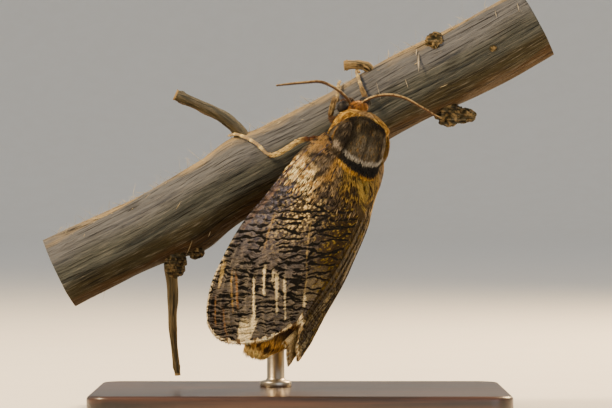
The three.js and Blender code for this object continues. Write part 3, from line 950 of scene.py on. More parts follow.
def at(a: Array, b: Array, c: Array) -> Array:
    """World places of the moth's a, b and c."""
    a, b, c = np.broadcast_arrays(a, b, c)
    return np.array(POSE.origin) - a[..., None] * FORWARD + b[..., None] * LEFT + c[..., None] * DORSAL


def own(points: Array) -> tuple[Array, Array, Array]:
    """The moth's a, b and c of world places."""
    away = points - np.array(POSE.origin)
    return -away @ FORWARD, away @ LEFT, away @ DORSAL


def turned(turn: tuple) -> Array:
    """The moth's axes turned by angles in degrees about x, then y, then z, one in each row.

    Args:
        turn: The three angles.

    Returns:
        Three unit vectors.
    """
    x, y, z = np.radians(turn)
    about_x = np.array([[1, 0, 0], [0, math.cos(x), -math.sin(x)], [0, math.sin(x), math.cos(x)]])
    about_y = np.array([[math.cos(y), 0, math.sin(y)], [0, 1, 0], [-math.sin(y), 0, math.cos(y)]])
    about_z = np.array([[math.cos(z), -math.sin(z), 0], [math.sin(z), math.cos(z), 0], [0, 0, 1]])
    return (about_z @ about_y @ about_x).T @ AXES


# ---- tufts


@dataclass
class Roots:
    """Where tufts grow on a surface."""

    p: Array
    q: Array
    place: Array
    along: Array
    normal: Array

    def only(self, keep: Array) -> "Roots":
        """The roots that a mask keeps."""
        return Roots(*(values[keep] for values in (self.p, self.q, self.place, self.along, self.normal)))


def always(p: Array, q: Array) -> Array:
    """An even density."""
    return np.ones_like(p * q)


def scatter(surface: Surface, count: int, seed: int, density: Surface = always, cells: int = 90) -> Roots:
    """Spreads roots evenly over a surface of two parameters from 0 to 1.

    Args:
        surface: Places for arrays of p and q.
        count: How many roots.
        seed: Which draw.
        density: How thickly the roots stand, for arrays of p and q.
        cells: How finely the surface's area is measured.

    Returns:
        Roots with the direction of growing p and the outward normal: each lies at a random
        place in a cell that is drawn by its share of the area.
    """
    rng = np.random.default_rng(seed)
    edge = shares(cells + 1)
    corner = surface(*lattice(edge, edge))
    diagonal, other = corner[1:, 1:] - corner[:-1, :-1], corner[1:, :-1] - corner[:-1, 1:]
    area = lengths(np.cross(diagonal, other)) / 2
    middle = (edge[1:] + edge[:-1]) / 2
    total = np.cumsum((area * density(*lattice(middle, middle))).ravel())
    draw = (np.arange(count) + rng.random(count)) / count * total[-1]
    i, j = np.unravel_index(np.minimum(np.searchsorted(total, draw), cells * cells - 1), (cells, cells))
    p, q = (i + rng.random(count)) / cells, (j + rng.random(count)) / cells
    step = 1e-3
    along = unit(surface(np.minimum(p + step, 1), q) - surface(np.maximum(p - step, 0), q))
    across = unit(surface(p, q + step) - surface(p, q - step))
    return Roots(p, q, surface(p, q), along, unit(np.cross(across, along)))


@dataclass
class Tufts:
    """Tufts of hair or scales that become one piece.

    Each is a solid blade of three edges: two rings of three points and a tip. The last four
    values are its faces, the shading of each of its points, which darkens the root as painted
    shade among the hairs and lightens the tip, and the place on the unwrap of each point.
    """

    name: str
    slot: str
    finish: Finish = FUR
    patch: float = 0.003
    shells: list[Shell] = field(default_factory=list)
    triangles: ClassVar[Array] = np.array([[0, 2, 1], [3, 4, 6], [4, 5, 6], [5, 3, 6]])
    quads: ClassVar[Array] = np.array([[0, 1, 4, 3], [1, 2, 5, 4], [2, 0, 3, 5]])
    shaded_roots_pale_tips: ClassVar[Array] = np.array([0.5, 0.5, 0.6, 1.0, 1.0, 1.1, 1.25])
    spots: ClassVar[Array] = np.array([[0, 0], [1, 0], [0.5, 0.1], [0, 0.5], [1, 0.5], [0.5, 0.6], [0.5, 1]])

    def grow(
        self, roots: Roots, lie: Array, length: Array, width: Array, lift: Array, tone: Array,
        unwrap: Array | None = None, curl: float = 0.5, seed: int = 1,
    ) -> None:
        """Grows one tuft from each root.

        A tuft's middle line rises from the root by the lift and bends back towards the skin by
        the curl. Its width is nine tenths at the first ring and eight at the second.

        Args:
            roots: Where the tufts stand.
            lie: The way that each lies, or that all do.
            length: Lengths in millimetres.
            width: Widths in millimetres.
            lift: Rise as a share of the length.
            tone: The colour of each tuft.
            unwrap: The place of each root on the skin's unwrap, 0 to 1.
            curl: Share of the lift that is lost by the tip.
            seed: Which draw of the small differences.
        """
        rng = np.random.default_rng(seed)
        count = len(roots.place)
        length, width, lift = (
            np.broadcast_to(x, count) * rng.uniform(0.75, 1.25, count) for x in (length, width, lift)
        )
        lie = np.broadcast_to(lie, roots.place.shape)
        sideways = np.cross(roots.normal, lie)
        flow = unit(lie - roots.normal * np.sum(lie * roots.normal, -1, keepdims=True))
        flow = unit(flow + unit(sideways) * rng.normal(0, 0.13, (count, 1)))
        side = unit(np.cross(flow, roots.normal))
        rings = []
        for share, thick in ((0.0, 0.9), (0.5, 0.8), (1.0, 0.0)):
            rise = length * (lift * share - curl * lift * share**2)
            middle = roots.place + flow * (length * share)[:, None] + roots.normal * rise[:, None]
            half = (width * thick / 2)[:, None]
            ridge = middle + roots.normal * half * 0.7
            ring = [middle - side * half, middle + side * half, ridge] if thick else [middle]
            rings.append(np.stack(ring, 1))
        if unwrap is None:
            unwrap = vec(roots.q, roots.p) * 0.95
        flat = np.clip(unwrap, 0.002, 0.995)[:, None] + self.spots * self.patch
        start = (np.arange(count) * len(self.spots))[:, None, None]
        # Each point's colour is scaled by its shading: painted shade at the root, lighter at the tip.
        self.shells.append(Shell(
            np.concatenate(rings, 1).reshape(-1, 3),
            [(self.quads + start).reshape(-1, 4), (self.triangles + start).reshape(-1, 3)],
            colour=np.clip(tone[:, None] * self.shaded_roots_pale_tips[:, None], 0, 1).reshape(-1, 3),
            flat=flat.reshape(-1, 2),
        ).outward())

    def dress(self) -> None:
        """Makes the piece."""
        piece(self.name, Shell.joined(self.shells), self.finish, self.slot)


# ---- body


@dataclass
class Trunk:
    """A long part of the body: a loft of ellipses along a, round a line that may wander."""

    start: float
    end: float
    width: tuple
    height_share: float
    leftward: tuple
    sink: tuple

    def ring(self, a: Array, angle: Array, inset: float = 0.0, rise: Array | float = 0.0) -> Array:
        """Places round the trunk: b is the width times the sine of the angle and c its cosine.

        Args:
            a: Distances along the body.
            angle: Angles from the back towards the left.
            inset: Distance inside the outer surface.
            rise: Distance added to the width.

        Returns:
            World places.
        """
        width = curved(self.width, a) + rise - inset
        b = curved(self.leftward, a) + width * np.sin(angle)
        return at(a, b, curved(self.sink, a) + width * self.height_share * np.cos(angle))

    def angle_of(self, a: Array, b: Array, c: Array) -> Array:
        """The angle from the back towards the left, in degrees."""
        up = (c - curved(self.sink, a)) / self.height_share
        return np.degrees(np.arctan2(b - curved(self.leftward, a), up))

    def shell(self, inset: float, rise: Callable[[Array, Array], Array]) -> Shell:
        """The trunk as a closed shell inside its outer surface."""
        a, angle = lattice(np.linspace(self.start + inset, self.end - inset, 90), turns(72))
        return loft(self.ring(a, angle, inset, rise(a, angle)))

    def part(self, inset: float, rise: Callable[[Array, Array], Array], first: float, last: float) -> Surface:
        """The surface for p along the trunk, from first to last short of its ends, and q round.

        Args:
            inset: Distance inside the outer surface.
            rise: What is added to the width.
            first: Distance left off at the start.
            last: Distance left off at the end.

        Returns:
            The surface.
        """

        def surface(p: Array, q: Array) -> Array:
            """Places for arrays of p and q."""
            a, angle = self.start + first + (self.end - self.start - first - last) * p, 2 * math.pi * q
            return self.ring(a, angle, inset, rise(a, angle))

        return surface


THORAX = Trunk(
    start=-6.7,
    end=9.3,
    width=(
        (-6.7, 1.2), (-6.3, 2.4), (-5.6, 3.7), (-4.6, 4.6), (-3, 5.1), (-1, 5.4),
        (2, 5.5), (5, 5.2), (7, 4.7), (8.6, 3.8), (9.3, 2.2),
    ),
    height_share=1.02,
    leftward=((-6.7, 0.1), (-3, 0.35), (5, 0.35), (9.3, 0.1)),
    sink=((-6.7, -0.4), (-4.6, -0.2), (-2, 0), (2, 0), (9.3, 0.3)),
)
ABDOMEN = Trunk(
    start=8.6,
    end=38.3,
    width=(
        (8.6, 3.2), (10.4, 4.3), (13, 4.5), (20, 4.1), (28, 4.0),
        (34, 3.9), (36, 3.5), (37.6, 2.6), (38.3, 1.3),
    ),
    height_share=1.0,
    leftward=((8.6, 0), (26, 0), (34, 0.7), (38.3, 1.6)),
    sink=((8.6, -0.4), (20, -1.9), (30, -3.4), (38.3, -4.7)),
)


@dataclass
class Head:
    """The head: a broad ellipsoid tucked under the collar, with two short palps."""

    centre: tuple = (-6.4, 0.8, -2.9)
    semi: tuple = (1.5, 2.45, 2.4)
    turn: tuple = (0, 14, 24)
    eye_radius: float = 1.1
    eye_place: tuple = (0.55, 2.1, -0.2)
    palp_place: tuple = (0.9, 0.65, -2.2)
    palp_semi: tuple = (0.85, 0.5, 0.9)
    palp_inset: float = 0.15

    def ball(self, place: tuple, semi: tuple, side: int = 1) -> Ball:
        """A ball at a place ahead, left and above, turned as the head is. A side of -1 mirrors it."""
        axes = turned(self.turn)
        return Ball(at(*self.centre) + np.array(place) * (1, side, 1) @ axes, semi, axes)

    def local(self, points: Array) -> Array:
        """The ahead, left and upward places on the head of world places."""
        return (points - at(*self.centre)) @ turned(self.turn).T

    def skull(self, inset: float) -> Ball:
        """The skull, inside its outer surface."""
        return self.ball((0, 0, 0), shrunk(self.semi, inset))

    def palp(self, side: int) -> Ball:
        """A palp, to the left for 1 and right for -1."""
        return self.ball(self.palp_place, shrunk(self.palp_semi, self.palp_inset), side)

    def eye(self, side: int) -> Ball:
        """An eye."""
        return self.ball(self.eye_place, (self.eye_radius,) * 3, side)


class Markings:
    """The colours of the body by place, the same for the skin and its coat."""

    middle: ClassVar[float] = 15.0

    def thorax(self, a: Array, angle: Array) -> Array:
        """The thorax's colours.

        Args:
            a: Distances along the body.
            angle: Degrees from the back towards the left.

        Returns:
            Linear colours: a golden collar streaked with painted highlights and flecked with
            painted shade, a dark olive disc with two furrows, then a pale grey band, a black band
            and a golden patch.
        """
        off = np.abs(angle - self.middle)
        spot = vec(a, np.radians(angle) * 5.4)
        mottle, fleck = cloud(spot, 1.3, 3, 3), cloud(spot, 0.35, 10, 2)
        rim = -5.6 + np.where(angle > 32, 0.0006, 0.00032) * (angle - 32) ** 2
        collar = smooth(rim + 0.12, rim - 0.12, a)
        seen = smooth(58, 46, angle)
        band = 1.25 - 0.0004 * (angle - 8) ** 2 + 0.25 * (cloud(spot, 0.9, 5) - 0.5)
        black = band + 1.75 + 0.5 * smooth(20, -25, angle)
        gold = smooth(black - 0.05, black + 0.15, a)
        return painted(
            a, "231d10",
            ("4c4432", smooth(0.42, 0.75, mottle)),
            ("6d6659", bell(off, 0, 24) * bell(a, -0.9, 1.8) * 0.6),
            ("6f5426", smooth(0.62, 0.74, fleck) * 0.6),
            ("6b6254", smooth(38, 50, off) * smooth(105, 80, off) * smooth(0.35, 0.65, mottle) * 0.8),
            ("080503", bell(off, 40, 4.5) * smooth(-4.9, -4.2, a) * 0.9),
            ("0a0704", bell(angle, self.middle, 3.5) * 0.6),
            ("0c0603", bell(a, rim + 0.4, 0.35) * smooth(100, 70, off) * 0.9),
            ("8a621c", collar),
            # Painted highlights: bright streaks over the golden collar.
            ("f0c662", smooth(0.45, 0.65, cloud(spot * np.array([1, 3.0]), 0.9, 8, 2)) * collar * 0.8),
            # Painted shade: dark flecks in the golden collar.
            ("4a2a0e", smooth(0.42, 0.3, fleck) * collar * 0.7),
            ("d6cbb2", bell(a, -6.15, 0.28) * smooth(52, 30, np.abs(angle - 22)) * 0.9),
            ("827f77", smooth(band - 0.5, band - 0.2, a) * smooth(band + 0.5, band + 0.3, a) * seen),
            ("010101", smooth(band + 0.3, band + 0.45, a) * smooth(black + 0.1, black - 0.1, a) * seen),
            ("4f3c1c", gold),
            ("a9822c", gold * smooth(black + 2.0, black + 0.7, a + 1.2 * (mottle - 0.5))),
            ("c79d55", gold * smooth(0.55, 0.72, fleck) * 0.8),
            ("1f160b", gold * smooth(0.45, 0.33, mottle) * 0.8),
        )

    def tegula(self, points: Array, side: int) -> Array:
        """A shoulder lobe's colours: blotched grey with a golden edge; on the right, as the
        thorax, with a golden outer edge painted as a rim highlight.

        Args:
            points: World places.
            side: 1 for the left, -1 for the right.

        Returns:
            Linear colours.
        """
        a, b, c = own(points)
        outer = THORAX.angle_of(a, b, c) * side
        if side < 0:
            # Painted highlight: a golden rim on the right lobe's outer edge, where the light catches it.
            edge = smooth(52, 62, outer) * smooth(0.8, 0.2, a) * 0.5
            return laid_over(self.thorax(a, -outer), ("8a6a2c", edge))
        mottle = cloud(points, 0.9, 17, 2)
        return painted(
            a, "3f362a",
            ("8b8174", smooth(0.5, 0.68, mottle)),
            ("130e08", smooth(0.45, 0.3, mottle) * 0.9),
            ("b88a3a", np.maximum(smooth(-4.2, -4.7, a) * 0.7, smooth(80, 94, outer)) * 0.85),
        )

    def abdomen(self, a: Array, angle: Array) -> Array:
        """The abdomen's colours: brown rings with ochre hind margins, rusty on the sides, and
        a tail of dark and golden tufts edged in cream.

        Args:
            a: Distances along the body.
            angle: Degrees from the back towards the left.

        Returns:
            Linear colours.
        """
        spot = vec(a, np.radians(angle) * 4.0)
        mottle = cloud(spot, 0.9, 21, 2)
        ring, tail = (a - ABDOMEN.start) / 3.9 % 1.0, smooth(33.5, 35.5, a)
        return painted(
            a, "35220f",
            ("744018", smooth(20, 60, np.abs(angle)) * 0.8),
            ("a87a38", smooth(0.68, 0.95, ring) * 0.7),
            ("190e05", smooth(0.55, 0.35, mottle) * 0.6),
            ("c0903f", tail * 0.85),
            ("150c04", tail * smooth(0.5, 0.38, cloud(spot, 0.7, 24)) * 0.9),
            ("e8c578", smooth(37.0, 37.9, a + 1.6 * (mottle - 0.5))),
        )

    def head(self, local: Array) -> Array:
        """The head's colours by its ahead, left and upward places: an orange crown, a brown
        face and dark sides.

        Args:
            local: Distances ahead, to the left and above.

        Returns:
            Linear colours.
        """
        mottle = cloud(local, 0.6, 31, 2)
        return painted(
            mottle, "40270f",
            ("8f5f26", smooth(-0.2, 1.0, local[..., 2])),
            ("d8a55c", smooth(0.55, 0.75, mottle) * 0.7),
            ("241408", smooth(0.45, 0.3, mottle) * 0.7),
            ("1c0f06", smooth(1.5, 2.2, np.abs(local[..., 1])) * 0.8),
        )


MARKS = Markings()


@dataclass
class Body:
    """Head, thorax and abdomen: one skin and three coats."""

    head: Head = field(default_factory=Head)
    thorax_depth: float = 0.6
    abdomen_depth: float = 0.5
    head_depth: float = 0.4
    groove: float = 0.22
    segment: float = 3.9
    collar_at: float = -4.9
    collar_height: float = 0.4
    tegula_centre: tuple = (-1.5, 4.25, 1.0)
    tegula_semi: tuple = (3.3, 1.1, 2.5)
    tegula_turn: tuple = (-12, 0, -8)
    nape_place: tuple = (-1.4, 0, 0.3)
    nape_semi: tuple = (1.6, 1.7, 1.8)
    voxel: float = 0.24
    thorax_tufts: int = 13000
    neck_tufts: int = 1100
    tegula_tufts: int = 2600
    abdomen_tufts: int = 9000
    head_tufts: int = 4200
    palp_tufts: int = 420

    def collar(self, a: Array, angle: Array) -> Array:
        """The collar's rim: a bell along the body that fades out at the underside."""
        from_back = np.abs(np.where(angle > math.pi, angle - 2 * math.pi, angle))
        return self.collar_height * np.maximum(0, 1 - (from_back / 1.83) ** 4) * bell(a, self.collar_at, 0.75)

    def rings(self, a: Array, angle: Array) -> Array:
        """The abdomen's shallow grooves: a cosine along the body."""
        return -self.groove * np.cos((a - 9.6) / self.segment * 2 * math.pi)

    def tegula(self, side: int, inset: float) -> Ball:
        """A shoulder lobe, to the left for 1 and right for -1, inside its outer surface.

        Args:
            side: 1 for the left, -1 for the right.
            inset: Distance inside the outer surface.

        Returns:
            The lobe.
        """
        a, b, c = self.tegula_centre
        axes = turned((side * self.tegula_turn[0], self.tegula_turn[1], side * self.tegula_turn[2]))
        inset += 0.25 if side < 0 else 0.0
        return Ball(at(a, 0.35 + side * b, c), shrunk(self.tegula_semi, inset), axes, 0.02)

    def colours(self, points: Array) -> Array:
        """The skin's colours by place: head ahead of the collar, then thorax and abdomen.

        Args:
            points: World places.

        Returns:
            Linear colours.
        """
        a, b, c = own(points)
        tone = MARKS.thorax(a, THORAX.angle_of(a, b, c))
        for side in (1, -1):
            lobe = self.tegula(side, 0)
            on = lengths((points - lobe.centre) @ lobe.axes.T / np.array(lobe.semi)) < 1
            tone = np.where(on[:, None], MARKS.tegula(points, side), tone)
        rear = smooth(9.0, 9.8, a)[:, None]
        tone = tone * (1 - rear) + MARKS.abdomen(a, ABDOMEN.angle_of(a, b, c)) * rear
        local = self.head.local(points)
        front = smooth(1.25, 1.0, lengths(local / np.array(self.head.semi)))
        front = (front * smooth(-5.2, -5.8, a))[:, None]
        return tone * (1 - front) + MARKS.head(local) * front

    def skin(self) -> None:
        """One skin round head, thorax, shoulders and abdomen: closed shells fused by a voxel
        remesh and smoothed."""
        shells = [
            THORAX.shell(self.thorax_depth, self.collar),
            ABDOMEN.shell(self.abdomen_depth, self.rings),
            self.head.skull(self.head_depth).shell(),
            self.head.ball(self.nape_place, self.nape_semi).shell(),
            *(self.tegula(side, 0.35).shell() for side in (1, -1)),
            *(self.head.palp(side).shell(12, 16) for side in (1, -1)),
        ]
        rough = placed("rough", Shell.joined(shells).mesh("rough", scale=1.0))
        remesh = rough.modifiers.new("fuse", "REMESH")
        remesh.mode, remesh.voxel_size = "VOXEL", self.voxel
        soften = rough.modifiers.new("soften", "SMOOTH")
        soften.factor, soften.iterations = 0.5, 6
        fused = rough.evaluated_get(bpy.context.evaluated_depsgraph_get()).to_mesh()
        points = np.empty(len(fused.vertices) * 3)
        fused.vertices.foreach_get("co", points)
        sizes = np.empty(len(fused.polygons), np.int32)
        fused.polygons.foreach_get("loop_total", sizes)
        corners = np.empty(len(fused.loops), np.int32)
        fused.loops.foreach_get("vertex_index", corners)
        starts = np.concatenate([[0], np.cumsum(sizes)[:-1]])
        faces = [corners[starts[sizes == n][:, None] + np.arange(n)] for n in np.unique(sizes)]
        bpy.data.objects.remove(rough)
        points = points.reshape(-1, 3)
        shell = Shell(points, faces, colour=self.colours(points) * 0.8)
        piece("body_skin", shell, SKIN, "thorax_fur", "head", "thorax", "abdomen")

    def neck(self, p: Array, q: Array) -> Array:
        """The front of the thorax, a shallow dome: p runs from its middle to its edge.

        Args:
            p: From the middle, 0, to the edge, 1.
            q: Shares of the way round.

        Returns:
            World places.
        """
        a = THORAX.start + self.thorax_depth + 0 * p
        inset = self.thorax_depth + (1 - p) * (curved(THORAX.width, a) - self.thorax_depth)
        return THORAX.ring(a, 2 * math.pi * q, inset) + 0.4 * (1 - p**2)[..., None] * FORWARD

    def thorax_coat(self) -> None:
        """Close fur over the thorax, lying back, longest at the collar and behind the bands."""
        coat = Tufts("coat_thorax", "thorax_fur")
        surface = THORAX.part(
            self.thorax_depth, lambda a, angle: self.collar(a, angle % (2 * math.pi)), 0.6, 0
        )
        roots = scatter(
            surface, self.thorax_tufts, 11, lambda p, q: 0.35 + smooth(-0.5, 0.2, np.cos(2 * math.pi * q))
        )
        a, b, c = own(roots.place)
        angle = THORAX.angle_of(a, b, c)
        rim = smooth(-4.9, -5.4, a)
        ridge = bell(a, 2.1, 0.7) * smooth(70, 40, np.abs(angle - 8))
        rear = 1.3 * smooth(3, 6, a) + 0.8 * smooth(3, 5, a) * smooth(5, -20, angle)
        length = 0.75 + 0.5 * ridge + 0.15 * rim + rear
        tone = varied(MARKS.thorax(a + 0.55 * length, angle), 4, 0.6, 1.45)
        coat.grow(roots, -FORWARD, length, 0.15, 0.42 + 0.1 * rim + 0.35 * ridge, tone, seed=5)
        roots = scatter(self.neck, self.neck_tufts, 19)
        tone = laid_over(MARKS.thorax(0 * roots.p - 5.9, 360 * roots.q), ("a8844a", 0.5))
        unwrap = vec(0.95 * roots.q, 0.1 * roots.p)
        coat.grow(
            roots, roots.along + 0.3 * FORWARD, 0.75, 0.14, 0.5, varied(tone, 7, 0.55, 1.35), unwrap, seed=4
        )
        for side in (1, -1):
            roots = scatter(self.tegula(side, 0.3).surface, self.tegula_tufts, 13 + side)
            tone = varied(MARKS.tegula(roots.place, side), 6, 0.6, 1.45)
            unwrap = vec(0.05 + 0.9 * roots.q, roots.p) * 0.95
            coat.grow(roots, -FORWARD, 1.0, 0.15, 0.3, tone, unwrap, seed=8)
        coat.dress()

    def abdomen_coat(self) -> None:
        """Fur over the abdomen, with a tail tuft that splays past its end."""
        coat = Tufts("coat_abdomen", "abdomen_fur")
        surface = ABDOMEN.part(self.abdomen_depth, self.rings, 0.8, 0.3)
        roots = scatter(surface, self.abdomen_tufts, 23, lambda p, q: 0.7 + 1.5 * smooth(0.82, 0.95, p))
        a, b, c = own(roots.place)
        length = 1.1 + 0.4 * smooth(33, 37, a)
        tone = varied(MARKS.abdomen(a + 0.6 * length, ABDOMEN.angle_of(a, b, c)), 9, 0.65, 1.4)
        coat.grow(roots, -FORWARD, length, 0.16, 0.34 + 0.15 * smooth(33, 36, a), tone, seed=15)
        coat.dress()

    def head_coat(self) -> None:
        """Short fur over the face, with an upright orange crown between the feelers."""
        coat = Tufts("coat_head", "head_fur")
        ahead, _, above = turned(self.head.turn)
        roots = scatter(self.head.skull(self.head_depth).surface, self.head_tufts, 33)
        for side in (1, -1):
            away = lengths(roots.place - self.head.eye(side).centre)
            roots = roots.only(away > self.head.eye_radius * 1.02)
        local = self.head.local(roots.place)
        crown = smooth(0.9, 1.9, local[:, 2]) * smooth(1.5, 0.9, np.abs(local[:, 1]))
        tone = varied(MARKS.head(local), 12, 0.7, 1.35)
        upright = above * 0.5 + ahead * 0.3 + roots.normal
        lie = np.where(crown[:, None] > 0.3, upright, -ahead * 0.4 - above)
        coat.grow(roots, lie, 0.55 + 0.35 * crown, 0.11, 0.35 + 0.6 * crown, tone, seed=19)
        for side in (1, -1):
            roots = scatter(self.head.palp(side).surface, self.palp_tufts, 37 + side)
            tone = varied(MARKS.head(self.head.local(roots.place)), 14, 0.6, 1.3)
            coat.grow(roots, 0.8 * ahead - above, 0.5, 0.1, 0.3, tone, seed=20 + side)
        coat.dress()

    def build(self) -> None:
        """Makes the skin, its coats and the eyes."""
        self.skin()
        self.thorax_coat()
        self.abdomen_coat()
        self.head_coat()
        for side, name in ((1, "eye_left"), (-1, "eye_right")):
            piece(f"{name}_lens", self.head.eye(side).shell(32, 48), EyeFinish("compound eye"), "eye", name)


# ---- wings


@dataclass(frozen=True)
class Vein:
    """A vein: its share of the way across the wing at the root and tip, where it forks off,
    and how far it bows."""

    root: float
    tip: float
    fork: float
    bend: float

    def share(self, u: Array) -> Array:
        """Its share of the way across the wing at u: a straight line and half a sine."""
        return self.root + (self.tip - self.root) * u + self.bend * np.sin(math.pi * u)


@dataclass(frozen=True)
class Roof:
    """How the wings are held: a roof that steepens away from its ridge, more so on the right."""

    ridge_slope: float = 30
    costa_slope: float = 54
    width: float = 16
    gap: float = 0.3
    thickness: float = 0.5
    steeper: tuple = ((-2, 9), (7, 8), (12, 5), (18, 2.5), (25, 0), (42, 0))
    ridge: tuple = ((-2, 6.8), (5, 7.0), (12, 6.8), (17, 5.8), (21, 4.7), (25, 3.5), (30, 2.0), (38, 0.5))

    def lay(self, flat: Array, side: int, out: Array) -> Array:
        """Lays flat wing places on the roof and moves them out from it.

        Args:
            flat: Distances s along the body and w from the ridge.
            side: 1 for the left wing, -1 for the right.
            out: Distance out from the roof.

        Returns:
            World places. The slope turns evenly with w, so b and c are arcs of a circle.
        """
        s, w = flat[..., 0], flat[..., 1]
        extra = curved(self.steeper, s) if side < 0 else 0 * s
        first = np.radians(self.ridge_slope + extra)
        turn = math.radians(self.costa_slope - self.ridge_slope) / self.width
        slope = first + turn * w
        fall = (curved(self.ridge, s + 0.01) - curved(self.ridge, s - 0.01)) / 0.02
        b = self.gap / 2 + self.thickness * np.sin(first) + (np.sin(slope) - np.sin(first)) / turn
        c = curved(self.ridge, s) - (np.cos(first) - np.cos(slope)) / turn
        normal = unit(vec(-fall * np.cos(slope), np.sin(slope), np.cos(slope)))
        return at(s + normal[..., 0] * out, side * (b + normal[..., 1] * out), c + normal[..., 2] * out)


ROOF = Roof()


def nearest_web(x: Array, y: Array, wide: float, tall: float, seed: int) -> Array:
    """Distance to the walls of a brick-like net of cells.

    Each cell grows round a point of a jittered lattice. The wall between two cells is where
    both points are as far away, with distances measured in cell widths and heights. Walls
    that run along the veins count as farther, so that they fade.

    Args:
        x: Distances across the veins, in millimetres.
        y: Distances along the veins.
        wide: Width of a cell.
        tall: Height of a cell.
        seed: Which net.

    Returns:
        Distances to the nearest wall, in millimetres.
    """
    far = 9.0
    place = vec(x / wide, y / tall)
    base = np.floor(place)
    seeds = []
    for offset in np.ndindex(5, 5):
        cell = base + np.array(offset) - 2
        jitter = vec(hashed(cell, seed), hashed(cell, seed + 1))
        shift = vec(0.5 * (cell[..., 1] % 2), 0)
        seeds.append(cell + shift * 0.8 + 0.15 + 0.7 * jitter)
    seeds = np.stack(seeds)
    nearest = lengths(seeds - place).argmin(0)
    first = np.take_along_axis(seeds, nearest[None, ..., None], 0)[0]
    best = np.full(x.shape, far)
    for other in seeds:
        normal = other - first
        size = lengths(normal)
        same = size < 1e-6
        normal = normal / np.where(same, 1, size)[..., None]
        gap = np.sum(((other + first) / 2 - place) * normal, -1)
        slope = np.where(same, 1, np.hypot(normal[..., 0] / wide, normal[..., 1] / tall))
        upright = np.abs(normal[..., 0] / wide) / slope
        best = np.minimum(best, np.where(same, far, gap / slope + 0.28 * upright**2))
    return best


def to_line(flat: Array, points: tuple) -> Array:
    """Distances in millimetres from flat places to a smooth line through points."""
    return np.min(lengths(flat[..., None, :] - spline(points, shares(60))), axis=-1)


@dataclass(frozen=True)
class Streak:
    """A streak of pale scales: its course as (u, v) pairs, half width, colour, strength, how
    far it covers the dark lines, and how far it narrows towards its outer end, or towards its
    inner one where that is below zero."""

    course: tuple
    half: float
    code: str
    strength: float = 1.0
    covers: float = 0.75
    taper: float = 0.55

    def mask(self, u: Array, v: Array, chord: Array, grit: Array) -> Array:
        """Where the streak lies, ragged at its edges.

        Args:
            u: From the root, 0, to the outer edge, 1.
            v: From the inner edge, 0, to the leading edge, 1.
            chord: The wing's breadth there.
            grit: Noise from 0 to 1.

        Returns:
            How thickly it covers the wing.
        """
        us, vs = zip(*self.course)
        share = np.clip((u - us[0]) / (us[-1] - us[0]), 0, 1)
        half = self.half * (1.25 - abs(self.taper) * (share if self.taper > 0 else 1 - share))
        inside = smooth(us[0] - 0.015, us[0] + 0.03, u) * smooth(us[-1] + 0.015, us[-1] - 0.02, u)
        off = np.abs(v - np.interp(u, us, vs)) * chord + 0.4 * (grit - 0.5)
        return smooth(half + 0.12, half - 0.06, off) * inside * self.strength


CREAM, GOLD, AMBER = "ffebb6", "b8924c", "8a602c"
STREAKS = (
    Streak(((0.68, 0.65), (0.79, 0.555), (0.865, 0.51), (0.95, 0.50)), 0.19, CREAM, 1.0, 0.75, -0.8),
    Streak(((0.62, 0.605), (0.65, 0.585), (0.765, 0.485)), 0.14, CREAM, 0.95),
    Streak(((0.645, 0.475), (0.76, 0.38), (0.87, 0.305)), 0.2, CREAM, 0.95, 0.6, 0.8),
    Streak(((0.63, 0.525), (0.665, 0.495), (0.70, 0.465)), 0.13, CREAM, 0.8, 0.5),
    Streak(((0.66, 0.39), (0.79, 0.285), (0.93, 0.19)), 0.11, CREAM, 0.9, 0.4),
    Streak(((0.775, 0.115), (0.88, 0.055)), 0.10, CREAM, 0.85, 0.5),
    Streak(((0.34, 0.465), (0.50, 0.325), (0.65, 0.195), (0.775, 0.115)), 0.05, "a18a58", 0.7, 0.6),
    Streak(((0.40, 0.80), (0.55, 0.685)), 0.06, GOLD, 0.6),
    Streak(((0.695, 0.81), (0.76, 0.73), (0.84, 0.665)), 0.14, AMBER, 0.9),
    Streak(((0.70, 0.85), (0.78, 0.765), (0.86, 0.70)), 0.08, GOLD, 0.9),
    Streak(((0.69, 0.96), (0.80, 0.90)), 0.3, "d8b870", 0.9, 0.5),
    Streak(((0.84, 0.90), (0.95, 0.84)), 0.12, AMBER, 0.8),
    Streak(((0.86, 0.80), (0.97, 0.72)), 0.12, AMBER, 0.8),
    Streak(((0.885, 0.54), (0.94, 0.55), (1.0, 0.56)), 1.1, CREAM, 1.0, 0.25),
)
BOLD_LINES = (
    ((20.3, 4.9), (19.0, 3.4), (17.6, 1.8), (16.6, 0.3)),
    ((25.3, 13.0), (25.2, 11.6), (25.7, 10.1)),
    ((27.0, 9.3), (26.4, 7.2), (26.3, 5.2), (26.4, 3.3), (26.5, 1.5)),
    ((23.9, 7.3), (23.8, 5.1), (23.3, 3.2)),
    ((19.2, 9.0), (18.4, 7.2), (18.0, 5.6)),
    ((14.2, 4.6), (13.4, 3.0), (12.4, 1.4)),
    ((9.6, 4.2), (9.0, 3.0), (8.4, 2.0)),
)


class Wing(Enum):
    """The two kinds of wing, each with its veins and how far it lies below the roof."""

    FORE = "forewing", 0.0, (
        Vein(0.12, 0.03, 0, 0.02), Vein(0.34, 0.08, 0, 0.08), Vein(0.46, 0.15, 0, 0.15),
        Vein(0.53, 0.23, 0.5, 0.15), Vein(0.60, 0.32, 0.56, 0.16), Vein(0.67, 0.40, 0.58, 0.16),
        Vein(0.73, 0.48, 0.55, 0.15), Vein(0.78, 0.56, 0, 0.16), Vein(0.84, 0.65, 0.62, 0.13),
        Vein(0.89, 0.75, 0.5, 0.105), Vein(0.95, 0.92, 0, 0.035),
    )
    HIND = "hindwing", 1.02, (
        Vein(0.12, 0.10, 0, 0), Vein(0.28, 0.24, 0, 0), Vein(0.42, 0.38, 0, 0.03),
        Vein(0.52, 0.52, 0.5, -0.02), Vein(0.64, 0.68, 0.5, 0.02), Vein(0.76, 0.82, 0, 0),
        Vein(0.90, 0.94, 0, 0),
    )


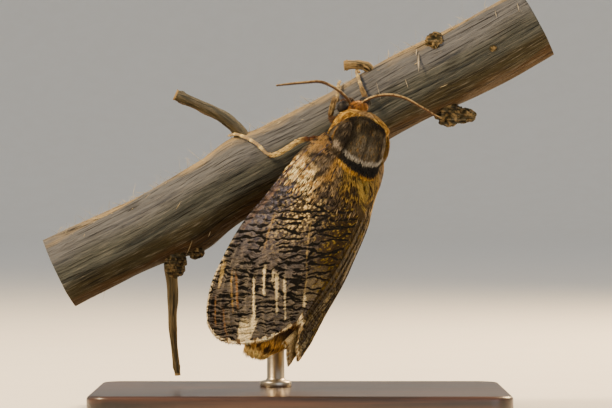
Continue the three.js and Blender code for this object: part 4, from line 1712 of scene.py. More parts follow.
@dataclass
class WingSheet:
    """One wing: a patch between four edges, laid on the roof, with its veins and markings.

    The web of dark lines is laid out by two directions on the flat wing, across and along the
    veins.
    """

    kind: Wing
    side: int
    inner: tuple
    costa: tuple
    termen: tuple
    root_dip: float = 2.3
    slip: float = 0.0
    hollow: float = 0.0
    hook: float = 0.0
    rows: int = 250
    columns: int = 170
    sheet: float = 0.22
    reach: float = 34.0
    vein_height: float = 0.2
    across: tuple = (0.378, 0.926)
    along: tuple = (0.926, -0.378)

    def inner_edge(self, u: Array) -> Array:
        """The inner edge at u, bowed out at the root, with a hollow and a hook near its end.

        Args:
            u: From the root, 0, to the outer edge, 1.

        Returns:
            Flat places.
        """
        (s0, w0), (s1, w1), bow_from = self.inner
        s = s0 + (s1 - s0) * u
        opened = np.clip((bow_from - s) / (bow_from - s0), 0, 1) ** 1.6
        hollow = self.hollow * np.maximum(0, 1 - np.abs(u - 0.88) / 0.2)
        return vec(s, w1 + (w0 - w1) * opened + hollow - self.hook * smooth(0.88, 1, u))

    def lap(self, u: Array, v: Array) -> Array:
        """How far the inner edge is drawn over the ridge, so that one wing laps the other.

        Args:
            u: From the root, 0, to the outer edge, 1.
            v: From the inner edge, 0, to the leading edge, 1.

        Returns:
            Distances in millimetres.
        """
        if self.kind is Wing.HIND:
            return np.zeros_like(u * v)
        reach = 0.66 if self.side > 0 else 0.30 + 0.9 * smooth(0.86, 0.97, u)
        return reach * smooth(0.12, 0.0, v) * smooth(0.08, 0.22, u)

    def flat(self, u: Array, v: Array) -> Array:
        """Flat places of the wing: the patch that blends its four edges (a Coons patch).

        Args:
            u: From the root, 0, to the outer edge, 1.
            v: From the inner edge, 0, to the leading edge, 1.

        Returns:
            Distances s along the body and w from the ridge.
        """
        u, v = np.broadcast_arrays(np.clip(u, 0, 1), np.clip(v, 0, 1))
        ends = self.inner_edge(np.array([0.0, 1.0]))
        first, last = np.array(self.costa[0]), np.array(self.costa[-1])
        du, dv = u[..., None], v[..., None]
        across = self.inner_edge(u) * (1 - dv) + by_length(self.costa, u) * dv
        along = (ends[0] * (1 - dv) + first * dv) * (1 - du) + by_length(self.termen, v) * du
        corners = (ends[0] * (1 - du) + ends[1] * du) * (1 - dv) + (first * (1 - du) + last * du) * dv
        return across + along - corners + vec(self.slip * u, -self.lap(u, v))

    def surface(self, u: Array, v: Array, out: Array | float = 0.0) -> Array:
        """World places on the wing's outer face.

        Args:
            u: From the root, 0, to the outer edge, 1.
            v: From the inner edge, 0, to the leading edge, 1.
            out: Distance out from the face.

        Returns:
            World places.
        """
        dip = self.root_dip * np.maximum(0, 1 - u / 0.14) ** 2
        dip = dip + (0.22 * smooth(0.1, 0.0, v) if self.side < 0 else 0.0)
        return ROOF.lay(self.flat(u, v), self.side, out - self.kind.value[1] - dip)

    def chord(self, u: Array) -> Array:
        """The wing's breadth at u."""
        return lengths(self.flat(u, np.ones_like(u)) - self.flat(u, np.zeros_like(u)))

    def relief(self, u: Array, v: Array) -> Array:
        """Height of the veins and of the gentle pleats between them: each vein is a bell.

        Args:
            u: From the root, 0, to the outer edge, 1.
            v: From the inner edge, 0, to the leading edge, 1.

        Returns:
            Heights in millimetres.
        """
        chord = self.chord(u)
        height = np.zeros_like(u)
        for vein in self.kind.value[2]:
            strength = 1.0 if vein.fork == 0 else smooth(vein.fork, vein.fork + 0.08, u)
            off = np.abs(v - vein.share(u)) * chord
            height += self.vein_height * strength * smooth(1.0, 0.94, u) * bell(off, 0, 0.17)
            height -= 0.05 * strength * bell(off, 0.75, 0.4)
        return height + 0.06 * (cloud(self.flat(u, v), 1.6, 51, 2) - 0.5)

    def web(self, flat: Array, u: Array, inner: Array) -> Array:
        """Distances outside the nearest dark line: a net of two sizes of cell, coarser near
        the inner edge, and a few bold lines.

        Args:
            flat: Flat places.
            u: From the root, 0, to the outer edge, 1.
            inner: How near they are to the inner edge.

        Returns:
            Distances in millimetres.
        """
        wander = vec(cloud(flat, 1.5, 61, 2), cloud(flat, 1.5, 67, 2)) - 0.5
        x = flat @ np.array(self.across) + 1.2 * wander[..., 0]
        y = flat @ np.array(self.along) + 0.8 * wander[..., 1] + 0.28 * (cloud(flat, 0.5, 71, 2) - 0.5)
        weight = cloud(flat, 1.1, 83) - 0.9 * smooth(0.40, 0.24, cloud(flat, 1.8, 89))
        bold = nearest_web(x, y, 2.4, 1.15, 3) - (0.07 + 0.27 * weight * smooth(1.3, 0.6, u))
        small = nearest_web(x, y, 1.5, 0.60, 5) - (0.10 * weight + 0.015) + 0.25 * smooth(0.62, 0.45, u)
        web = np.minimum(bold, small)
        web = np.where(inner > 0.55, np.minimum(nearest_web(x, y, 5.2, 1.35, 9) - 0.16, web + 0.2), web)
        ragged = 0.4 * (cloud(flat, 0.6, 103, 2) - 0.5) - 0.22
        return np.minimum(web, np.min([to_line(flat, line) + ragged for line in BOLD_LINES], axis=0))

    def markings(self, u: Array, v: Array) -> tuple[Array, dict[str, Array]]:
        """The wing's colours and its web of lines: lilac grey towards the leading edge, olive
        towards the inner edge, and streaks of cream along the outer veins. The right forewing
        is painted dark as painted shade, with gold flecks as painted glints, and a pale band
        along the outer and leading edges is a painted rim highlight.

        Args:
            u: From the root to the outer edge.
            v: From the inner edge to the leading edge.

        Returns:
            Linear colours, and the values web (distance outside the nearest line), lit_rims
            (how strongly the painted rim highlights show) and inked (how strongly the lines show).
        """
        flat, chord = self.flat(u, v), self.chord(u)
        mottle, slow, fine = cloud(flat, 0.8, 73, 3), cloud(flat, 4.0, 79, 2), cloud(flat, 0.3, 97, 2)
        inner = smooth(0.5, 0.16, v + 0.30 * (u - 0.2)) * smooth(0.93, 0.75, u)
        outer = smooth(0.58, 0.72, u + 0.06 * (slow - 0.5))
        golden = bell(u, 0.34, 0.15) * bell(v, 0.6, 0.17)
        specks = smooth(0.60, 0.70, cloud(flat, 0.5, 109, 2)) * smooth(0.2, 0.4, u)
        tone = painted(
            u, "322e2f",
            ("4c4d5e", smooth(0.5, 0.8, v) * smooth(0.66, 0.45, u)),
            ("1b1716", smooth(0.52, 0.68, mottle) * 0.7),
            ("6b6058", specks * 0.7),
            ("2b1e03", inner * 0.9),
            ("44371d", golden * 0.8),
            ("ead096", golden * smooth(0.55, 0.64, fine) * 0.95),
            ("a08a5c", smooth(0.63, 0.71, fine) * smooth(0.6, 0.2, u) * 0.6),
            ("6f5c10", smooth(0.60, 0.72, fine) * inner * 0.75),
            ("120e0b", smooth(0.38, 0.31, cloud(flat, 0.45, 101, 2)) * smooth(0.62, 0.4, u) * 0.85),
            ("6d6450", outer * smooth(0.66, 0.5, mottle) * 0.55),
            ("2a1d0c", smooth(0.72, 0.88, u) * smooth(0.62, 0.8, v) * 0.8),
        )
        left, covered = self.side > 0, np.zeros(u.shape)
        if self.kind is Wing.HIND:
            covered += 0.75
            pale = smooth(0.72, 0.9, u + 0.1 * (fine - 0.5)) * 0.9
            tone = painted(u, "5a4c38", ("8f7a56", mottle), ("e6cd94", pale))
        elif not left:
            # Painted glints: gold flecks on the right forewing, thickest towards its leading edge.
            fleck = smooth(0.52, 0.68, cloud(flat, 0.9, 107, 3)) * (0.35 + 0.65 * smooth(0.2, 0.8, v))
            tip = smooth(0.93, 0.965, u + 0.05 * (slow - 0.5) - 0.05 * smooth(0.1, 0.3, v))
            pale = tip * smooth(0.45, 0.6, mottle)
            # Painted shade: the right forewing, turned away from the light, is painted dark olive brown.
            tone = laid_over(
                tone, ("241902", 0.9), ("6c560a", fleck), ("c2a468", tip * 0.9), ("fbe6b4", pale)
            )
            covered = tip * 0.6
        for streak in STREAKS:
            mask = streak.mask(u, v, chord, fine) * (1.0 if left and self.kind is Wing.FORE else 0.15)
            tone = laid_over(tone, (streak.code, mask))
            covered = np.maximum(covered, mask * streak.covers)
        lead = (1 - v) * chord
        edge = np.minimum((1 - u) * self.reach, lead) + 0.2 * (fine - 0.5)
        basal = smooth(0.6, 0.45, u)
        tone = laid_over(
            tone,
            # Painted highlight: a pale band along the lit outer and leading edges, golden on the right wing.
            ("ffeaba" if left else "8a6420", smooth(0.42, 0.2, edge) * smooth(0.55, 0.75, u)),
            ("33211a", bell(lead, 0.3, 0.16) * basal * 0.8),
            ("8a6f5c", bell(lead, 0.75, 0.2) * basal * 0.7),
        )
        faded = 1 - 0.45 * smooth(0.7, 0.95, v) * smooth(0.55, 0.35, u)
        inked = smooth(0.10, 0.30, u) * faded * (1 - covered)
        # The right wing, in shade, takes less of the painted rim highlight and fainter lines.
        full = 1.0 if left else 0.3
        lit_rims = (1 - inner) * smooth(0.3, 0.5, u) * full
        return tone, {"web": self.web(flat, u, inner), "lit_rims": lit_rims, "inked": inked * (0.6 + 0.4 * full)}

    def build(self) -> None:
        """The wing as a closed sheet: two like grids of points, joined round their edges."""
        u, v = lattice(shares(self.rows), shares(self.columns))
        lift = self.relief(u, v)
        rim = np.minimum(np.minimum(v, 1 - v) * self.chord(u), (1 - u) * self.reach)
        thick = 0.07 + (self.sheet - 0.07) * smooth(0, 1.2, rim)
        faces = [self.surface(u, v, lift), self.surface(u, v, lift - thick)]
        tone, values = self.markings(u, v)
        under = tone * 0.45 + tint("7d6b56") * 0.4
        rows, columns = u.shape
        count = rows * columns
        edge = np.concatenate([
            np.arange(columns - 1), np.arange(rows - 1) * columns + columns - 1,
            rows * columns - 1 - np.arange(columns - 1), (rows - 1 - np.arange(rows - 1)) * columns,
        ])
        after = np.roll(edge, -1)
        quads = grid_faces(rows, columns)
        shell = Shell(
            np.concatenate([face.reshape(-1, 3) for face in faces]),
            [quads, quads[:, ::-1] + count, vec(after, after + count, edge + count, edge)],
            colour=np.concatenate([tone.reshape(-1, 3), under.reshape(-1, 3)]),
            values={
                key: np.concatenate([value.ravel(), value.ravel() * (1.0 if key == "web" else 0.3)])
                for key, value in values.items()
            },
        )
        kind, name = self.kind.value[0], f"{self.kind.value[0]}_{'left' if self.side > 0 else 'right'}"
        piece(f"{name}_sheet", shell.outward(), WingFinish(f"{kind} scales"), f"{kind}_scales", name)


@dataclass
class Wings:
    """The four wings, their fringes and the scales on their shoulders."""

    fore_inner: tuple = ((3.0, 2.3), (29.8, 0.1), 8.0)
    fore_costa: tuple = (
        (-1.5, 9.6), (3.1, 12.3), (11.5, 15.2), (18.5, 16.8), (27, 16.5), (32.8, 15.2), (35.9, 13.6),
    )
    fore_termen: tuple = (
        (29.8, 0.1), (31.6, 1.0), (34.4, 3.0), (36.3, 5.7), (37.5, 8.6), (37.4, 11.3), (35.9, 13.6),
    )
    hind_inner: tuple = ((7.6, 3.2), (31.5, 1.2), 12)
    hind_costa: tuple = ((6.2, 7.6), (9.5, 10.8), (16, 13.2), (24, 14.2), (31, 13.4), (34.4, 11.6))
    hind_termen: tuple = ((31.5, 1.2), (33.6, 2.6), (35.2, 5.2), (35.7, 8.6), (34.4, 11.6))
    right_termen: tuple = ((31.5, -0.2), (32.4, 2.0), (34.6, 5.4), (35.7, 8.6), (34.4, 11.6))
    fringe_scales: int = 2600
    shoulder_scales: int = 2600
    mane_hairs: int = 420

    def sheets(self) -> list[WingSheet]:
        """The four wings: the left hindwing and forewing, then the right ones.

        Returns:
            The sheets, not yet built.
        """
        made = []
        for side in (1, -1):
            folded = dict(slip=3.1, hollow=3.0, hook=1.4) if side < 0 else {}
            termen = self.right_termen if side < 0 else self.hind_termen
            made.append(WingSheet(
                Wing.HIND, side, self.hind_inner, self.hind_costa, termen, 1.5, rows=130, columns=90, **folded
            ))
            made.append(WingSheet(Wing.FORE, side, self.fore_inner, self.fore_costa, self.fore_termen))
        return made

    def fringe(self, wing: WingSheet, coat: Tufts, seed: int) -> None:
        """Narrow scales that stand out past the wing's outer edge, in pale and dark lengths.

        Args:
            wing: The wing.
            coat: What they are added to.
            seed: Which draw.
        """
        rng, count = np.random.default_rng(seed), self.fringe_scales
        v = np.sort(rng.random(count))
        u = np.full(count, 0.992) - rng.uniform(0, 0.012, count)
        place = wing.surface(u, v, -0.05)
        out = unit(wing.surface(np.ones(count), v) - wing.surface(np.full(count, 0.96), v))
        across = unit(wing.surface(u, np.minimum(v + 0.01, 1)) - wing.surface(u, np.maximum(v - 0.01, 0)))
        bands = cloud(wing.flat(u, v), 1.1, 7)
        dark, pale = smooth(0.48, 0.4, bands), smooth(0.6, 0.68, bands)
        tone = painted(u, "e9d09a", ("6b5335", dark), ("fff0c8", pale)) * rng.uniform(0.75, 1.25, (count, 1))
        roots = Roots(u, v, place, out, unit(np.cross(out, across)) * wing.side)
        length = rng.uniform(0.4, 0.85, count)
        coat.grow(roots, out, length, 0.085, 0.08, tone, vec(u, v) * 0.95, seed=seed + 1)

    def shoulder(self, wing: WingSheet, coat: Tufts, seed: int) -> None:
        """Long pale scales over the wing's root, lying along it.

        Args:
            wing: The wing.
            coat: What they are added to.
            seed: Which draw.
        """
        roots = scatter(
            lambda p, q: wing.surface(0.30 * np.clip(p, 0, 1), np.clip(q, 0, 1), 0.02),
            self.shoulder_scales, seed,
            lambda p, q: smooth(1.0, 0.25, p) * (0.4 + smooth(0.4, 0.9, q)),
        )
        if np.mean(roots.normal @ (DORSAL + wing.side * LEFT)) < 0:
            roots.normal = -roots.normal
        p, q = roots.p, roots.q
        mottle, fine = cloud(roots.place, 0.8, 43, 2), cloud(roots.place, 0.42, 47, 2)
        rear = smooth(0.35, 0.55, p + 0.2 * (mottle - 0.5))
        front = 1 - rear
        mane = smooth(0.42 if wing.side > 0 else 0.8, 0.28, q) * smooth(0.75, 0.55, p)
        tone = painted(
            p, "453a30",
            ("8d7a5c", smooth(0.5, 0.7, mottle)),
            ("62594c", smooth(0.45, 0.6, fine) * front * 0.9),
            ("1c1712", smooth(0.45, 0.35, fine) * front * 0.8),
            ("a8854a", smooth(0.5, 0.62, q) * smooth(0.35, 0.5, mottle) * rear * 0.9),
            ("f0dca8", smooth(0.55, 0.7, q) * smooth(1.0, 0.8, p) * smooth(0.44, 0.56, fine) * rear),
            ("a8874c", bell(q, 0.93, 0.03) * front * 0.8),
            ("94703a", smooth(0.62, 0.8, q) * smooth(0.32, 0.1, p) * smooth(0.35, 0.6, fine) * 0.8),
            ("ae8538", bell(q, 0.5, 0.06) * smooth(0.6, 0.4, p) * 0.7),
            ("3a2b11", mane),
            ("8a7030", mane * smooth(0.50, 0.64, fine + 0.16 * smooth(0.45, 0.2, p))),
            ("17110a", smooth(0.40, 0.30, mottle) * 0.8),
        )
        coat.grow(roots, roots.along, 0.95, 0.16, 0.22, varied(tone, seed, 0.7, 1.3), seed=seed + 1)

    def mane(self, wing: WingSheet, coat: Tufts, seed: int) -> None:
        """Long golden hairs along the inner edge of the wing's root, leaning over the ridge.

        Args:
            wing: The wing.
            coat: What they are added to.
            seed: Which draw.
        """
        rng, count = np.random.default_rng(seed), self.mane_hairs
        u, v = rng.uniform(0.0, 0.22, count), rng.uniform(0.004, 0.06, count)
        place = wing.surface(u, v, 0.02)
        along = unit(wing.surface(u + 0.01, v) - place)
        inward = unit(wing.surface(u, v) - wing.surface(u, v + 0.05))
        lie = along + inward * rng.uniform(0.35, 1.1, (count, 1))
        gold = cloud(place, 0.6, 53, 2) + 0.14 * smooth(0.16, 0.05, u)
        tone = painted(u, "33270f", ("857030", smooth(0.5, 0.66, gold))) * rng.uniform(0.7, 1.3, (count, 1))
        roots = Roots(u, v, place, along, unit(np.cross(inward, along)) * -wing.side)
        coat.grow(roots, lie, rng.uniform(1.2, 2.0, count), 0.17, 0.16, tone, seed=seed + 1)

    def build(self) -> None:
        """Makes the sheets, their fringes and their shoulder scales."""
        fringe = Tufts("wing_fringes", "forewing_scales")
        shoulder = Tufts("coat_shoulders", "thorax_fur")
        for number, wing in enumerate(self.sheets()):
            wing.build()
            self.fringe(wing, fringe, 200 + number)
            if wing.kind is Wing.FORE:
                self.shoulder(wing, shoulder, 300 + number)
                self.mane(wing, shoulder, 305 + number)
        fringe.dress()
        shoulder.dress()


# ---- perch


@dataclass
class Branch:
    """A dead branch without bark, sawn at both ends, with broken twigs and knobs.

    Each twig is its route, its radii at the root and tip, and how fresh its wood is. Each
    shred is its place along x, its angle, length and width.
    """

    y: float = 4.0
    radius: float = 6.25
    axis: tuple = (
        (-41.1, 23.35), (-26.6, 30.5), (-11.5, 38.84), (0.49, 44.98),
        (15.5, 53.3), (27.9, 59.6), (40.2, 66.5),
    )
    twigs: tuple = (
        (((-8.6, 4, 43.5), (-10.3, 3.6, 47.5), (-12.9, 3.2, 50.0), (-17.1, 3.0, 52.1), (-21.4, 2.8, 54.0)),
         1.27, 0.92, 0.12),
        (((-21.2, 4, 29.5), (-22.0, 3.4, 25.0), (-21.8, 3.0, 20.4), (-21.8, 3.0, 15.1), (-21.5, 3.1, 10.8),
          (-20.9, 3.2, 6.0)), 1.3, 0.5, 0.32),
        (((13.0, 3.0, 56.0), (11.6, 2.6, 58.6), (9.6, 2.4, 59.1), (7.5, 2.2, 59.0)), 0.95, 0.75, 1.0),
    )
    knobs: tuple = (
        ((-21.3, 2.4, 25.6), (1.7, 1.6, 2.6)), ((-17.8, 2.6, 27.2), (1.3, 1.2, 1.2)),
        ((23.0, 0.4, 62.9), (1.5, 1.3, 1.5)), ((32.7, -2.0, 61.7), (0.6, 0.5, 0.5)),
        ((25.4, 2.2, 50.8), (2.2, 1.8, 2.0)), ((27.9, 2.0, 50.4), (1.9, 1.2, 1.2)),
    )
    shreds: tuple = (
        (22.3, 60, 2.6, 0.42), (22.1, 44, 4.4, 0.62), (35.6, 50, 1.8, 0.2), (38.9, 40, 2.6, 0.2),
        (18.6, 17, 1.6, 0.13), (14.6, 35, 3.6, 0.1),
    )
    slivers: int = 420
    broad_slivers: int = 4

    def station(self, x: Array) -> tuple[Array, Array]:
        """The branch's centre at x, and its upward direction across the grain.

        Args:
            x: Places along the branch.

        Returns:
            Centres and unit vectors.
        """
        points = [(px, self.y, pz) for px, pz in self.axis]
        dense = centripetal(points, shares(801))
        slope = np.gradient(dense, axis=0)
        columns = slope[:, 0], slope[:, 2], dense[:, 2]
        run, rise, height = (np.interp(x, dense[:, 0], column) for column in columns)
        return vec(x, self.y, height), unit(vec(-rise, 0 * x, run))

    def girth(self, x: Array, angle: Array) -> Array:
        """The radius at x and an angle from the front towards the top: low furrows, a swelling
        at each broad twig and a slow waist.

        Args:
            x: Places along the branch.
            angle: Radians from the front towards the top.

        Returns:
            Radii.
        """
        furrows = 0.2 * np.cos(3 * angle + 0.11 * x) + 0.16 * np.cos(7 * angle - 0.23 * x)
        swelling = 0.7 * bell(x, -9, 3.2) * np.maximum(0, np.sin(angle))
        swelling += 1.3 * bell(x, -20, 4.0) * np.maximum(0, -np.sin(angle)) ** 2
        return self.radius + furrows + swelling + 0.15 * np.cos(0.16 * x + 1.2)

    def on_bark(self, x: Array, angle: Array, lift: Array | float) -> Array:
        """Places on the bark, lifted off it.

        Args:
            x: Places along the branch.
            angle: Degrees from the front towards the top.
            lift: Distance off the bark.

        Returns:
            World places.
        """
        centre, up = self.station(x)
        angle = np.radians(angle)
        radius = (self.girth(x, angle) + lift)[..., None]
        front = np.array([0.0, -1.0, 0.0])
        return centre + radius * (front * np.cos(angle)[..., None] + up * np.sin(angle)[..., None])

    def relief(self, x: Array, angle: Array) -> Array:
        """Fine relief of the wood: long ridges of fibre and a few deep checks.

        Args:
            x: Places along the branch.
            angle: Radians from the front towards the top.

        Returns:
            Heights in millimetres.
        """
        turning = vec(x * 0.05, np.cos(angle) * 6 + 40, np.sin(angle) * 6)
        checks = smooth(0.64, 0.74, cloud(turning * (1.2, 1, 1), 0.8, 307, 2))
        return 0.34 * (cloud(turning, 0.55, 301, 3) - 0.5) - 0.35 * checks

    def stem(self, rows: int = 420, columns: int = 190) -> Shell:
        """The stem: rings along x, closed by flat sawn ends of shrinking rings.

        Args:
            rows: Rings along it.
            columns: Points in a ring.

        Returns:
            The closed shell.
        """
        x, angle = np.linspace(self.axis[0][0], self.axis[-1][0], rows), turns(columns)
        xs, angles = lattice(x, angle)
        rings = self.on_bark(xs, np.degrees(angles), self.relief(xs, angles) - 0.12)
        first, last = self.station(x[[0, -1]])[0]
        shrink = np.array([0.04, 0.25, 0.5, 0.75, 0.93, 1.0])[:, None, None]
        points = np.concatenate([
            first + (rings[0] - first) * shrink, rings[1:-1], last + (rings[-1] - last) * shrink[::-1],
        ])
        sawn = np.ones((5, columns))
        cut = np.concatenate([sawn, np.zeros((rows, columns)), sawn])
        reach = np.concatenate([shrink[:, 0], np.ones((rows - 2, 1)), shrink[::-1, 0]])
        grain = np.concatenate([np.full(6, x[0]), x[1:-1], np.full(6, x[-1])])[:, None]
        # Painted light: the stem is painted lighter the more it faces up, darker below.
        facing = 0.5 + 0.5 * np.sin(angle)
        return loft(points, facing=facing, cut=cut, gx=grain + 60 * (1 - reach), gy=angle * 6.2)

    def arm(self, route: tuple, root: float, tip: float, fresh: float, number: int) -> Shell:
        """A twig or stub: a knobbly tube that narrows to its broken end, more yellow where its
        wood is fresh.

        Args:
            route: Its middle line.
            root: Radius at its root.
            tip: Radius at its tip.
            fresh: From 0, weathered, to 1.
            number: Which arm it is.

        Returns:
            The closed shell.
        """
        sides = 36
        share = shares(140)[:, None]
        line, angle = centripetal(route, share[:, 0]), turns(sides)
        spot = vec(share * 9, np.cos(angle) * 2 + number * 9, np.sin(angle) * 2)
        rough = cloud(spot * (0.5, 1.5, 1.5), 0.7, 331, 3) - 0.5
        radius = (root + (tip - root) * share) * (1 + 0.04 * np.cos(9 * share * math.pi))
        flare = smooth(0.3, 0, share) * (0.3 + 0.5 * (cloud(spot, 1.6, 335, 2) - 0.5))
        radius = radius * (1 + 0.28 * rough + flare)
        ragged = 1 + 1.3 * smooth(0.86, 0.97, share) * (cloud(spot, 0.6, 337, 2) - 0.45)
        rings = tube_rings(line, (radius - 0.05) * ragged, sides)
        up = unit(rings - line[:, None])[..., 2]
        cut = np.maximum(smooth(0.975, 0.99, share), fresh * smooth(0.35, 0.6, 0.5 + rough))
        length = lengths(np.diff(line, axis=0)).sum()
        # Painted light: the twig is painted lighter on its upper side.
        facing = 0.42 + 0.28 * up + (0.4 * rough - 0.5) * min(fresh, 0.4)
        return loft(rings, facing=facing, cut=cut, gx=share * length, gy=angle * root)

    def knob(self, centre: tuple, semi: tuple) -> Shell:
        """A knob or bud: an ellipsoid of crumbling bark.

        Args:
            centre: Its middle.
            semi: Half its size along each axis.

        Returns:
            The closed shell.
        """
        shell = Ball(np.array(centre), semi, np.eye(3)).shell(60, 84)
        crumbs = 1 - 2 * np.abs(cloud(shell.points, 1.3, 341, 4) - 0.5)
        shell.points = centre + (shell.points - centre) * (0.2 + crumbs)[:, None]
        shell.values = {
            "facing": 0.05 + 0.3 * cloud(shell.points, 0.7, 343),
            "cut": 0.6 * smooth(0.45, 0.72, cloud(shell.points, 0.5, 347, 3)),
            "gx": shell.points[:, 0], "gy": shell.points[:, 2],
        }
        return shell

    def splinters(self) -> None:
        """Slivers of torn fibre that stand off the wood, most along its top, and a few broad
        shreds."""
        rng, count = np.random.default_rng(351), self.slivers
        x = rng.uniform(-39, 36.5, count)
        angle = np.where(rng.random(count) < 0.9, rng.normal(86, 14, count), rng.uniform(-180, 180, count))
        place = self.on_bark(x, angle, -0.15)
        normal = unit(place - self.station(x)[0])
        along = unit(self.on_bark(x + 0.1, angle, 0) - self.on_bark(x - 0.1, angle, 0))
        along = along * rng.choice([-1, 1], count)[:, None]
        lie = along + np.cross(along, normal) * rng.normal(0, 0.5, (count, 1))
        length, width = rng.uniform(0.4, 1.7, count) ** 1.4, rng.uniform(0.05, 0.14, count)
        broad = np.arange(count) < self.broad_slivers
        length = np.where(broad, rng.uniform(1.6, 3.4, count), length)
        width = np.where(broad, rng.uniform(0.22, 0.4, count), width)
        upright = rng.random(count) < 0.35
        lift = np.where(upright, rng.uniform(1.0, 2.4, count), rng.uniform(0.15, 0.9, count))
        lift = np.where(broad, 0.12, lift)
        tone = painted(x, "8a7a5e", ("d8c79c", rng.random(count)))
        slivers = Tufts("branch_splinters", "bark", FurFinish("torn fibre"))
        roots = Roots(x, angle, place, along, normal)
        slivers.grow(roots, lie, length, width, lift, tone, vec(x, angle) / 400 + 0.5, curl=0.2)
        x, angle, length, width = np.array(self.shreds).T
        place, down = self.on_bark(x, angle, -0.02), np.array([0.28, 0.0, -1.0])
        roots = Roots(x, angle, place, down + 0 * place, unit(place - self.station(x)[0]))
        grain = vec(x, angle) / 400 + 0.5
        slivers.grow(roots, down, length, width, 0.03, painted(x, "a39a88"), grain, curl=0.9, seed=2)
        slivers.dress()

    def build(self) -> None:
        """Makes the stem, one piece of its twigs and knobs, and its splinters."""
        bark = BarkFinish("weathered wood")
        arms = [self.arm(*twig, number) for number, twig in enumerate(self.twigs)]
        knobs = [self.knob(*knob) for knob in self.knobs]
        stem, twigs = self.stem(), Shell.joined(arms + knobs)
        for shell in (stem, twigs):
            shell.flat = vec(shell.values.pop("gx"), shell.values.pop("gy")) / 100 + 0.5
        piece("branch_stem", stem, bark, "bark", "perch_branch", map_name="grain")
        piece("branch_twigs", twigs, bark, "bark", map_name="grain")
        self.splinters()


# ---- limbs


LEG_ROUTES = {
    "leg_front_left": ((-3.6, 3.0, -3.6), ((5.2, -8.2, 49.6), (5.7, -6.6, 52.6)), ((8.4, 40), (10.2, 78))),
    "leg_front_right": ((-3.8, -1.8, -4.0), ((10.9, -5.6, 52.6),), ((12.3, 34), (13.4, 104))),
    "leg_mid_left": ((0.3, 3.2, -4.2), ((1.6, -8.4, 46.2), (0.2, -7.6, 46.0)), ((-4.4, 10), (-8.8, 96))),
    "leg_mid_right": ((0.3, -2.6, -4.6), ((12.0, -4.8, 45.2),), ((10.9, -26), (11.0, -84))),
    "leg_hind_left": ((3.8, 3.0, -4.2), ((0.6, -7.4, 39.6),), ((-1.6, -20), (-3.2, -72))),
    "leg_hind_right": ((3.8, -2.4, -4.4), ((9.6, -3.2, 39.2),), ((6.2, -46), (7.0, -98))),
}
ANTENNA_ROUTES = {
    "antenna_left": (
        (8.8, -8.2, 50.6), (8.3, -9.3, 52.3), (7.0, -9.7, 53.8), (5.6, -9.8, 54.8),
        (3.4, -10.0, 55.7), (1.0, -10.2, 55.6), (-2.0, -10.5, 55.3), (-4.0, -10.6, 55.05),
    ),
    "antenna_right": (
        (9.4, -8.2, 50.6), (10.2, -9.3, 52.0), (12.1, -9.9, 53.1), (14.6, -10.3, 53.5),
        (17.3, -10.6, 53.0), (20.6, -10.9, 51.2), (22.8, -11.1, 49.9), (23.3, -11.2, 49.7),
    ),
}


